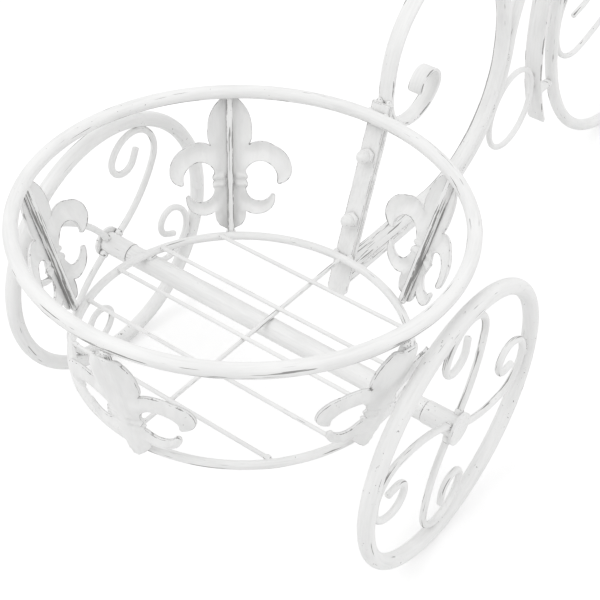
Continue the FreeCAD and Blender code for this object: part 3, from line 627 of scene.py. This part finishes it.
def standing_bar(node, bar, section, material, rub=no_rub):
    """A bar bent in the frame's plane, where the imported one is."""
    pile = Pile()
    x, z, heading, bends = bar
    sweep(pile, bent_line(x, z, heading, bends, GROUND, X, Z), section, rub=rub)
    return pile.finish(node + "_bar", FRAME, material, replaces=[node])


standing_bar("main_tube", MAIN_TUBE, round_section(6.0, 26), tube_paint, main_rub)
standing_bar("second_tube", SECOND_TUBE, round_section(5.0, 24), tube_paint, second_rub)
standing_bar("flat_scroll", FLAT_SCROLL, flat_section(2.5, 11.5), flat_bar_paint)
standing_bar("fender", FENDER, flat_section(2.5, 16.0), flat_bar_paint)

bar_height = sum(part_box("handlebar")[end][2] for end in (0, 1)) / 2 / MM
post_x = sum(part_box("post")[end][0] for end in (0, 1)) / 2 / MM
post_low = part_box("post")[0][2] / MM
AXLE_AHEAD = 29.5                # the axle ahead of the lower basket's middle
bar_pile = Pile()
bar_x, bar_y, bar_heading, bar_bends = HANDLEBAR
bar_line = bent_line(bar_x, bar_y, bar_heading, bar_bends, Vector((post_x, 0, bar_height)), X, Y)
sweep(bar_pile, bar_line, round_section(6.0, 24), rub=under_rub)
bar_pile.finish("handlebar_tube", FRAME, tube_paint, replaces=["handlebar"])

# ------------------------------------------------------------------ lily ornaments and uprights

GAP = 0.1
UPRIGHT_WIDTH, UPRIGHT_DEPTH, UPRIGHT_OUT = 4.5, 5.0, 2.0
UPRIGHT_PARTS = 50
LEAF_ANGLES = [43.0, 114.5, 187.0, 256.9, 328.5]
LEAF_DISH, LEAF_PLATE = 105.0, 1.6
LEAF_TOP = (3.4, 4.85)
LEAF_STEPS = [
    ((11.5, 13.0), (15.3, 27.0)), ((15.5, 33.5), (13.6, 39.6)),
    ((22.5, 36.9), (31.5, 39.9)), ((39.9, 46.4), (42.7, 55.5)), ((40.7, 63.2), (34.6, 67.6)),
    ((33.3, 67.3), (32.8, 66.0)), ((30.4, 55.8), (22.3, 51.4)), ((15.4, 53.4), (11.2, 58.6)),
    ((11.2, 61.2),), ((12.5, 63.9), (11.2, 66.6)), ((12.5, 69.4), (11.2, 72.2)),
    ((14.2, 79.1), (20.0, 81.5)), ((25.2, 80.1), (28.6, 76.2)), ((30.7, 75.5), (31.5, 77.6)),
    ((28.3, 86.9), (19.8, 91.4)), ((15.0, 91.1), (10.8, 89.0)), ((9.8, 96.5), (5.2, 102.0)),
    ((1.8, 104.6),),
]
LEAF_SPAN = LEAF_STEPS[-1][-1][1] - LEAF_TOP[1]
LEAF_BANDS = [63.9, 69.4]
BAND_HALF = 11.6
LEAF_PITCH = 1.5                 # of the plate's mesh
HALF_COLUMNS = 30
EDGE_LANES, LANES_END = (0.7, 1.7), 2.3   # rows of points that follow the edge
RIDGE_HEIGHT, RIDGE_WIDTH = 2.5, 1.5      # of a collar band
WALL_EDGE = 0.45                 # the cut edge keeps more paint than the rim of the face
GUTTER_DEPTH, GUTTER_WIDTH = 3.4, 8.5


def arc_points(start, through, end):
    """Points after start along the arc through three points."""
    (ax, ay), (bx, by), (cx, cy) = start, through, end
    d = 2 * (ax * (by - cy) + bx * (cy - ay) + cx * (ay - by))
    a, b, c = ax * ax + ay * ay, bx * bx + by * by, cx * cx + cy * cy
    ux = (a * (by - cy) + b * (cy - ay) + c * (ay - by)) / d
    uy = (a * (cx - bx) + b * (ax - cx) + c * (bx - ax)) / d
    radius = math.hypot(ax - ux, ay - uy)
    first, middle, last = (math.atan2(y - uy, x - ux) for x, y in (start, through, end))
    turn = (last - first) % (2 * math.pi)
    if (middle - first) % (2 * math.pi) > turn:
        turn -= 2 * math.pi
    parts = max(2, math.ceil(abs(turn) * radius / 1.2))
    angles = [first + turn * part / parts for part in range(1, parts + 1)]
    return [(ux + radius * math.cos(angle), uy + radius * math.sin(angle)) for angle in angles]


def leaf_outline():
    """The whole outline in the plate's own plane: across, and down from the rim's centre line."""
    half = [LEAF_TOP]
    for step in LEAF_STEPS:
        if len(step) == 1:
            half.append(step[0])
        else:
            half.extend(arc_points(half[-1], step[0], step[1]))
    return half + [(-x, y) for x, y in reversed(half)]


def inside(outline, x, y):
    """Whether a flat point lies within the outline."""
    held = False
    for (ax, ay), (bx, by) in zip(outline, outline[1:] + outline[:1]):
        if (ay > y) != (by > y) and x < (bx - ax) * (y - ay) / (by - ay) + ax:
            held = not held
    return held


def edge_distance(outline, x, y):
    """How far a flat point lies from the outline."""
    best = 1e9
    for (ax, ay), (bx, by) in zip(outline, outline[1:] + outline[:1]):
        dx, dy = bx - ax, by - ay
        share = max(0.0, min(1.0, ((x - ax) * dx + (y - ay) * dy) / (dx * dx + dy * dy + 1e-12)))
        best = min(best, (x - ax - share * dx) ** 2 + (y - ay - share * dy) ** 2)
    return math.sqrt(best)


def leaf_sheet():
    """The plate as flat points with their distance from its edge, triangles and border."""
    outline = leaf_outline()
    flat = [Vector(spot) for spot in outline]
    border = len(flat)
    for lane in EDGE_LANES:
        for index in range(border):
            tangent = Vector(outline[(index + 1) % border]) - Vector(outline[index - 1])
            if tangent.length < 1e-6:
                continue
            inward = Vector((tangent.y, -tangent.x)).normalized()
            for side in (inward, -inward):
                spot = Vector(outline[index]) + side * lane
                clear = edge_distance(outline, spot.x, spot.y) > lane * 0.93
                if clear and inside(outline, spot.x, spot.y):
                    flat.append(spot)
    rows = int(LEAF_SPAN / LEAF_PITCH) + 2
    for row in range(rows):
        for column in range(-HALF_COLUMNS, HALF_COLUMNS + 1):
            x = (column + 0.5 * (row % 2)) * LEAF_PITCH
            y = LEAF_TOP[1] + row * LEAF_PITCH * 0.87
            if inside(outline, x, y) and edge_distance(outline, x, y) > LANES_END:
                flat.append(Vector((x, y)))
    edges = [(index, (index + 1) % border) for index in range(border)]
    spots, _, faces, _, _, _ = delaunay_2d_cdt(flat, edges, [], 1, 1e-5)
    away = [edge_distance(outline, spot.x, spot.y) for spot in spots]
    return spots, faces, away


def leaf_height(x, drop, away):
    """How far the plate's hollow side stands in from its lowest line."""
    dish = LEAF_DISH - math.sqrt(LEAF_DISH ** 2 - x * x)
    clear = smooth(abs(x), 3.0, 8.0)
    gutter = GUTTER_DEPTH * (1 - min(1.0, away / GUTTER_WIDTH)) ** 2 * clear
    waist = sum(math.exp(-((drop - band) / RIDGE_WIDTH) ** 2) for band in LEAF_BANDS)
    middle = sum(LEAF_BANDS) / 2
    between = math.exp(-((drop - middle) / 6.0) ** 2) * smooth(BAND_HALF + 2.0 - abs(x), 0.0, 2.5)
    ridge = (RIDGE_HEIGHT * waist * smooth(abs(x), 2.6, 4.2)
             * smooth(BAND_HALF + 1.0 - abs(x), 0.0, 1.2))
    return dish + gutter * (1 - between) + ridge


leaf_spots, leaf_faces, leaf_away = leaf_sheet()


def ornament(name, node, scale, start, basis, number):
    """One pressed lily plate, hollow side in, with its two collar bands."""
    pile = Pile()
    count = len(leaf_spots)
    marks = []
    wobble = Vector((number * 7.3, 2.2, number * 1.9))
    for back in (0, 1):
        for spot, away in zip(leaf_spots, leaf_away):
            height = leaf_height(spot.x, spot.y, away)
            ripple = noise.noise(Vector((spot.x * 0.09, spot.y * 0.09, 0)) + wobble)
            height += 0.25 * ripple * smooth(abs(spot.x), 3, 9)
            if back:
                height -= LEAF_PLATE
            local = Vector((spot.x * scale, start + (spot.y - LEAF_TOP[1]) * scale, height * scale))
            pile.points.append(basis @ local)
            beside_bar = 1 - smooth(abs(abs(spot.x) - 3.4), 0.6, 2.4)
            # painted shade: more dark lines in the valley beside the upright, on the hollow face
            # towards the plate's top
            valley_shade = 0.30 * beside_bar * (1 - smooth(spot.y, 18.0, 40.0)) * (1 - back)
            marks.append(((spot.y, spot.x, height), 1 - smooth(away, 0.05, 0.55), valley_shade))
    for face in leaf_faces:
        first, second, third = (leaf_spots[index] for index in face)
        turn = (second - first).cross(third - first)
        front = list(face) if turn > 0 else list(reversed(face))
        pile.face(front, *zip(*(marks[index] for index in front)))
        behind = [index + count for index in reversed(front)]
        pile.face(behind, *zip(*(marks[index] for index in behind)))
    used = {}
    for face in leaf_faces:
        for first, second in zip(face, face[1:] + face[:1]):
            key = (min(first, second), max(first, second))
            used[key] = used.get(key, []) + [(first, second, face)]
    for found in used.values():
        if len(found) == 1:
            first, second, face = found[0]
            a, b, c = (leaf_spots[index] for index in face)
            if (b - a).cross(c - a) < 0:
                first, second = second, first
            wall = [second, first, first + count, second + count]
            grain, _, rubbed = zip(*(marks[index] for index in wall))
            pile.face(wall, grain, [WALL_EDGE] * 4, rubbed)
    pile.finish(name, FRAME, leaf_paint, replaces=[node])


def upright_rub(run, left, upward):
    """The sides of an upright get the most dark lines, and all of it fewer towards its two ends."""
    sides = smooth(abs(left), 0.55, 0.66)
    ends = smooth(run, 8.0, 26.0) * (1 - smooth(run, 88.0, 100.0))
    return 0.24 + sides * (0.24 + 0.34 * ends) + 0.42 * (1 - sides) * ends


def dress_basket(prefix, centre, bottom, rim, rim_tube, floor, floor_tube, turn, upright_nodes):
    """Ornaments and uprights of one basket; returns where the uprights' ends are welded."""
    depth = centre.z - bottom.z
    slope = math.hypot(rim - floor, depth)
    down = Vector(((floor - rim) / slope, 0, -depth / slope))
    start = math.sqrt((rim_tube + GAP) ** 2 - UPRIGHT_OUT ** 2)
    span = slope - start - math.sqrt((floor_tube + GAP) ** 2 - UPRIGHT_OUT ** 2)
    face = UPRIGHT_OUT + UPRIGHT_DEPTH
    bars = Pile()
    ends = []
    for number, stand in enumerate(LEAF_ANGLES, start=1):
        swing = Matrix.Rotation(math.radians(turn + stand), 3, "Z")
        across = swing @ Y
        along = swing @ down
        inward = across.cross(along)
        origin = centre + swing @ X * rim - inward * (face + GAP)
        basis = Matrix.Translation(origin) @ Matrix((across, along, inward)).transposed().to_4x4()
        name = "%s_leaf_%d" % (prefix, number)
        ornament(name + "_plate", name, span / LEAF_SPAN, start, basis, number + len(prefix))
        middle = origin + inward * (GAP + UPRIGHT_DEPTH / 2)
        line = [(middle + along * (start + span * part / UPRIGHT_PARTS), along, across,
                 along.cross(across), span * part / UPRIGHT_PARTS)
                for part in range(UPRIGHT_PARTS + 1)]
        sweep(bars, line, flat_section(UPRIGHT_WIDTH, UPRIGHT_DEPTH, 0.5), rub=upright_rub,
              uneven=0.25)
        ends.append((middle + along * start, middle + along * (start + span), across, inward))
    bars.finish(prefix + "_upright_bars", FRAME, upright_paint, replaces=upright_nodes)
    return ends


lower_ends = dress_basket(
    "basket", rim_centre, floor_centre, rim_radius, rim_wall, floor_radius, floor_wall, 0,
    ["basket_upright_%d" % number for number in range(1, len(LEAF_ANGLES) + 1)])
upper_ends = dress_basket(
    "upper_basket", upper_centre, upper_floor_centre, upper_radius, upper_wall,
    upper_floor_radius, upper_floor_wall, 180, ["upper_basket_uprights"])

# ------------------------------------------------------------------ bolts and nuts

ACROSS_FLATS, BOLT_RADIUS, THREAD_DEPTH, THREAD_PITCH = 10.0, 3.0, 0.28, 1.0
HEAD_HEIGHT, NUT_HEIGHT, PAST_NUT = 4.0, 4.8, 3.0
CAP_RADIUS, CAP_HEIGHT = 4.6, 6.8


def turned(pile, place, axis, rings, around=48):
    """A piece turned about an axis; a ring is (height, greatest radius, across flats or None)."""
    turn = axis.to_track_quat("Z", "Y")
    base = len(pile.points)
    outline = []
    for height, most, flats in rings:
        for step in range(around):
            angle = 2 * math.pi * step / around
            radius = most
            if flats:
                off = (angle + math.pi / 6) % (math.pi / 3) - math.pi / 6
                radius = min(most, flats / 2 / math.cos(off))
            spot = Vector((radius * math.cos(angle), radius * math.sin(angle), height))
            outline.append(spot)
            pile.points.append(place + turn @ spot)
    edges = [0.8 if flats else 0.3 for _, _, flats in rings]

    def marks(spots):
        return ([tuple(outline[spot]) for spot in spots], [edges[spot // around] for spot in spots],
                [0.15] * len(spots))

    for ring in range(len(rings) - 1):
        for step in range(around):
            beside = (step + 1) % around
            spots = [ring * around + step, ring * around + beside, (ring + 1) * around + beside,
                     (ring + 1) * around + step]
            pile.face([base + spot for spot in spots], *marks(spots))
    start = (len(rings) - 1) * around
    for spots in ([*range(around - 1, -1, -1)], [*range(start, start + around)]):
        pile.face([base + spot for spot in spots], *marks(spots))


def hexagon(pile, place, axis, low, high):
    """A chamfered hexagon, as a nut or a bolt's head."""
    most = ACROSS_FLATS / math.sqrt(3)
    chamfer = ACROSS_FLATS / 2 * 0.96
    rings = [(low, chamfer - 0.5, ACROSS_FLATS), (low + 0.05, chamfer, ACROSS_FLATS),
             (low + 0.7, most, ACROSS_FLATS), (high - 0.7, most, ACROSS_FLATS),
             (high - 0.05, chamfer, ACROSS_FLATS), (high, chamfer - 0.5, ACROSS_FLATS)]
    turned(pile, place, axis, rings)


def cap(pile, place, axis, base):
    """The dome of a cap nut, from its hexagon outwards."""
    neck = CAP_HEIGHT - CAP_RADIUS
    rings = [(base + 0.6, CAP_RADIUS - 0.6, None), (base - 0.2, CAP_RADIUS - 0.1, None),
             (base - 0.6, CAP_RADIUS, None), (base - neck, CAP_RADIUS, None)]
    for degrees in range(10, 90, 10):
        angle = math.radians(degrees)
        rings.append((base - neck - CAP_RADIUS * math.sin(angle), CAP_RADIUS * math.cos(angle),
                      None))
    rings.append((base - CAP_HEIGHT, 0.2, None))
    turned(pile, place, axis, rings[::-1], 32)


def bolted(name, spots, axis, grip, replaces, capped=False):
    """Bolts with their nuts: heads at the grip's far end, threads past the nuts or caps on them."""
    pile = Pile()
    for spot in spots:
        hexagon(pile, spot, axis, grip, grip + HEAD_HEIGHT)
        hexagon(pile, spot, axis, -NUT_HEIGHT - GAP, -GAP)
        if capped:
            cap(pile, spot, axis, -NUT_HEIGHT - GAP)
            shank = [(-NUT_HEIGHT, BOLT_RADIUS, None), (grip + 0.5, BOLT_RADIUS, None)]
            turned(pile, spot, axis, shank, 24)
            continue
        end = -NUT_HEIGHT - PAST_NUT - GAP
        rings = [(end, BOLT_RADIUS - 0.8, None), (end + 0.4, BOLT_RADIUS - THREAD_DEPTH, None)]
        turns = int((PAST_NUT + 0.6) / THREAD_PITCH)
        for turn_number in range(turns):
            height = end + 0.5 + turn_number * THREAD_PITCH
            root, crest = BOLT_RADIUS - THREAD_DEPTH, BOLT_RADIUS
            rings += [(height, root, None), (height + 0.4, crest, None),
                      (height + 0.6, crest, None), (height + 0.98, root, None)]
        rings += [(-2.0, BOLT_RADIUS, None), (grip, BOLT_RADIUS, None)]
        turned(pile, spot, axis, rings, 24)
    pile.finish(name, FRAME, hardware_paint, slot=HARDWARE_SLOT, replaces=replaces)


STRAP_LEAN = math.radians(16.0)
strap_out = Vector((math.cos(STRAP_LEAN), 0, -math.sin(STRAP_LEAN)))
strap_spots = [Vector((-210.376, 0, 140.583)), Vector((-196.87, 0, 187.685))]
bolted("strap_hardware", strap_spots, strap_out, 5.2, ["strap_bolts", "strap_nuts"], capped=True)
bolted("post_hardware", [Vector((219.375, 0, 506.0)), Vector((219.375, 0, 544.0))], X, 16.7,
       ["post_bolts", "post_nuts"])

# ------------------------------------------------------------------ welds

frame_welds = Pile()


def weld(place, size, toward=Z, seed=0.0, pile=frame_welds):
    """A lump of weld on the frame, or on the wheel whose pile is given."""
    blob(pile, place, size, toward, seed)


for order, (top, foot, across, inward) in enumerate(lower_ends + upper_ends):
    weld(top + inward * 1.0, (2.8, 2.2, 3.6), across, order)
    weld(foot + inward * 0.5, (2.4, 2.0, 3.4), across, order + 0.5)


def wire_welds(centre, ring_inside, pitch, seed):
    """Blobs where the floor wires and the long wire meet a floor ring."""
    lift = 2.0
    for step in range(-2, 3):
        reach = math.sqrt(ring_inside ** 2 - (step * pitch) ** 2)
        for side in (-1, 1):
            weld(centre + Vector((step * pitch, side * reach, lift)), (2.3, 2.0, 3.0), Y,
                 seed + step * side)
    for side in (-1, 1):
        weld(centre + Vector((side * ring_inside, 0, lift - 3.0)), (2.3, 2.0, 3.0), X, seed + side)


wire_welds(floor_centre, floor_radius - floor_wall, 37.5, 3.0)
wire_welds(upper_floor_centre, upper_floor_radius - upper_floor_wall, 28.0, 8.0)

for order, (x, z, wide) in enumerate(((-214.5, 101.0, 4.6), (-217.5, 90.0, 4.4))):
    for side in (-1, 1):
        weld(Vector((x, side * 4.2, z)), (2.4, 2.2, wide), Z, order + side)

for body, (centre, radius, _) in wheels.items():
    pile = frame_welds if body == FRAME else Pile()
    for quarter, line in enumerate(arm_lines(body)):
        weld(line[0][0] + line[0][1] * 1.5, (3.1, 3.2, 3.6), line[0][1], quarter + radius, pile)
        touch = max(line, key=lambda spot: (spot[0] - centre).length)
        out = (touch[0] - centre).normalized()
        weld(touch[0] + out * (ARM_WIRE - 0.4), (2.6, 1.6, 5.5), touch[1], quarter, pile)
    if body != FRAME:
        pile.finish(body + "_welds", body, weld_paint)

MAIN_BEND_X, BEND_HEIGHT, SEAM_RADIUS = -103.6, 190.0, 96.0
for side in (-1, 1):
    for order, x in enumerate((-188.0, -142.0)):
        weld(Vector((x, side * 3.4, 94.0)), (2.2, 2.0, 8.0), X, order + side)
    for order, degrees in enumerate((-62.0, -30.0, -4.0)):
        angle = math.radians(degrees)
        spot = Vector((MAIN_BEND_X + SEAM_RADIUS * math.cos(angle), side * 3.4,
                       BEND_HEIGHT + SEAM_RADIUS * math.sin(angle)))
        weld(spot, (2.2, 2.0, 7.0), Vector((-math.sin(angle), 0, math.cos(angle))), order - side)
    # straps to the rings, the flat scroll to the strap's top
    weld(rim_centre + Vector((rim_radius + rim_wall + 0.4, side * 6.0, -1.0)),
         (2.6, 3.0, 4.0), Z, side)
    weld(floor_centre + Vector((floor_radius + floor_wall, side * 6.0, 0)),
         (2.4, 2.6, 3.6), Z, side + 3)
    weld(Vector((-181.6, side * 3.6, 220.5)), (2.8, 3.4, 5.0), Z, side + 6)
    # axle tube to the floor ring
    crossing = math.sqrt(floor_radius ** 2 - AXLE_AHEAD ** 2)
    weld(floor_centre + Vector((AXLE_AHEAD, side * crossing, -floor_wall)),
         (5.0, 4.2, 3.0), Z, side + 9)
    # post to the fender and to the handlebar
    weld(Vector((post_x + side * 5.0, 0, post_low + 1.0)), (3.4, 5.0, 3.0), Z, side + 12)
    weld(Vector((post_x, side * 6.0, bar_height - 6.2)), (4.6, 3.4, 3.0), Z, side + 15)
    # upper strap to the upper basket's rings
    weld(upper_centre + Vector((-upper_radius - upper_wall - 0.4, side * 5.5, -1.0)),
         (2.4, 2.8, 3.8), Z, side + 18)
    weld(upper_floor_centre + Vector((-upper_floor_radius - upper_floor_wall, side * 5.0, 0.0)),
         (2.4, 2.8, 3.0), Z, side + 21)

for bar, turn_out in ((FLAT_SCROLL, 1.4), (SECOND_TUBE, 4.6)):
    x, z, heading, bends = bar
    line = bent_line(x, z, heading, bends, GROUND, X, Z)
    place, ahead, left, _, _ = line[-3]
    weld(place + left * turn_out, (2.6, 3.6, 5.0), ahead, x)
    place, ahead, left, _, _ = line[-14]
    weld(place + left * turn_out, (2.4, 3.4, 5.0), ahead, z)

bend_centre = Vector((MAIN_BEND_X, 0, BEND_HEIGHT))
front_centre = wheels[FRAME][0]
for order, target in enumerate((bend_centre, front_centre)):
    toward = (target - ring_centre).normalized()
    spot = ring_centre + toward * (ring_radius + ring_wall)
    weld(spot, (2.4, 3.0, 7.0), toward.cross(Y), order + 30)

FENDER_INSIDE = 226.7
for order, degrees in enumerate((202.6, 136.6, 70.6)):
    angle, lean = math.radians(degrees), math.radians(-66.0 * order)
    out = Vector((math.cos(angle), 0, math.sin(angle)))
    level = Vector((math.cos(lean), 0, math.sin(lean)))
    root = front_centre + out * FENDER_INSIDE
    weld(root - out * 0.5, (4.6, 5.4, 2.6), out, order + 40)
    weld(root + level * 20.5, (4.2, 4.8, 2.8), level, order + 43)

frame_welds.finish("frame_welds", FRAME, weld_paint)

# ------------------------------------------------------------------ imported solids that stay

FINISHES = [
    ("basket_floor_wire_", wire_paint), ("upper_basket_floor_wires", wire_paint),
    ("basket_long_wire", long_wire_paint), ("basket_strap", strap_paint),
    ("frame_strap", strap_paint), ("upper_strap", strap_paint), ("post", post_paint),
    ("right_knob", post_paint), ("left_knob", post_paint), ("", axle_paint),
]


def finish_of(node):
    """The paint whose prefix is the longest that the node's name starts with."""
    fitting = [pair for pair in FINISHES if node.startswith(pair[0])]
    return max(fitting, key=lambda pair: len(pair[0]))[1]


for name, piece in nodes.items():
    for slot in piece.material_slots:
        slot.material = finish_of(name)

# ------------------------------------------------------------------ floor, world and lamps

FLOOR_SIZE, FLOOR_GAP = 12.0, 0.0002
FLOOR_GLOW = 0.29                # of the floor, for the rays that show a background
WORLD_LIGHT = 0.82


def seen_rays(tree):
    """1 for the rays that show a background: the camera's, and those in gloss and glass."""
    path = add(tree, "ShaderNodeLightPath").outputs
    mirrored = combine(tree, "MAXIMUM", path["Is Glossy Ray"], path["Is Transmission Ray"])
    return combine(tree, "MAXIMUM", path["Is Camera Ray"], mirrored)


def pale_floor():
    """A plain pale floor that keeps the cart's shadow."""
    data = bpy.data.meshes.new("floor")
    half = FLOOR_SIZE / 2
    data.from_pydata([(-half, -half, 0), (half, -half, 0), (half, half, 0), (-half, half, 0)], [],
                     [(0, 1, 2, 3)])
    floor = bpy.data.objects.new("floor", data)
    floor.location.z = -FLOOR_GAP
    bpy.context.scene.collection.objects.link(floor)
    material = bpy.data.materials.new("floor_white")
    material.use_nodes = True
    tree = material.node_tree
    shader = tree.nodes["Principled BSDF"]
    shader.inputs["Base Color"].default_value = (0.82, 0.82, 0.82, 1)
    shader.inputs["Roughness"].default_value = 1.0
    shader.inputs["Specular IOR Level"].default_value = 0.0
    glow = add(tree, "ShaderNodeEmission", {"Color": (1, 1, 1, 1), "Strength": FLOOR_GLOW})
    both = add(tree, "ShaderNodeAddShader", {0: shader.outputs[0], 1: glow.outputs[0]})
    mixed = add(tree, "ShaderNodeMixShader",
                {0: seen_rays(tree), 1: shader.outputs[0], 2: both.outputs[0]})
    tree.links.new(mixed.outputs[0], tree.nodes["Material Output"].inputs["Surface"])
    data.materials.append(material)


def white_world():
    """White to the eye, and a plain even light for the cart."""
    world = bpy.data.worlds.new("studio")
    bpy.context.scene.world = world
    world.use_nodes = True
    tree = world.node_tree
    tree.nodes.clear()
    dim = add(tree, "ShaderNodeBackground", {"Color": (1, 1, 1, 1), "Strength": WORLD_LIGHT})
    full = add(tree, "ShaderNodeBackground", {"Color": (1, 1, 1, 1), "Strength": 1.0})
    mixed = add(tree, "ShaderNodeMixShader",
                {0: seen_rays(tree), 1: dim.outputs[0], 2: full.outputs[0]})
    output = tree.nodes.new("ShaderNodeOutputWorld")
    tree.links.new(mixed.outputs[0], output.inputs["Surface"])


def soft_lamp(name, place, aim, width, power):
    """A square area lamp."""
    data = bpy.data.lights.new(name, "AREA")
    data.shape = "SQUARE"
    data.size = width
    data.energy = power
    lamp = bpy.data.objects.new(name, data)
    bpy.context.scene.collection.objects.link(lamp)
    lamp.location = place
    lamp.rotation_euler = (Vector(aim) - Vector(place)).to_track_quat("-Z", "Y").to_euler()


bpy.context.scene.view_settings.view_transform = "Standard"
pale_floor()
white_world()
soft_lamp("key", (-1.6, 0.6, 2.4), (0.0, 0.0, 0.2), 1.6, 15.0)
soft_lamp("fill", (0.8, -2.2, 1.6), (0.0, 0.0, 0.2), 1.8, 8.0)
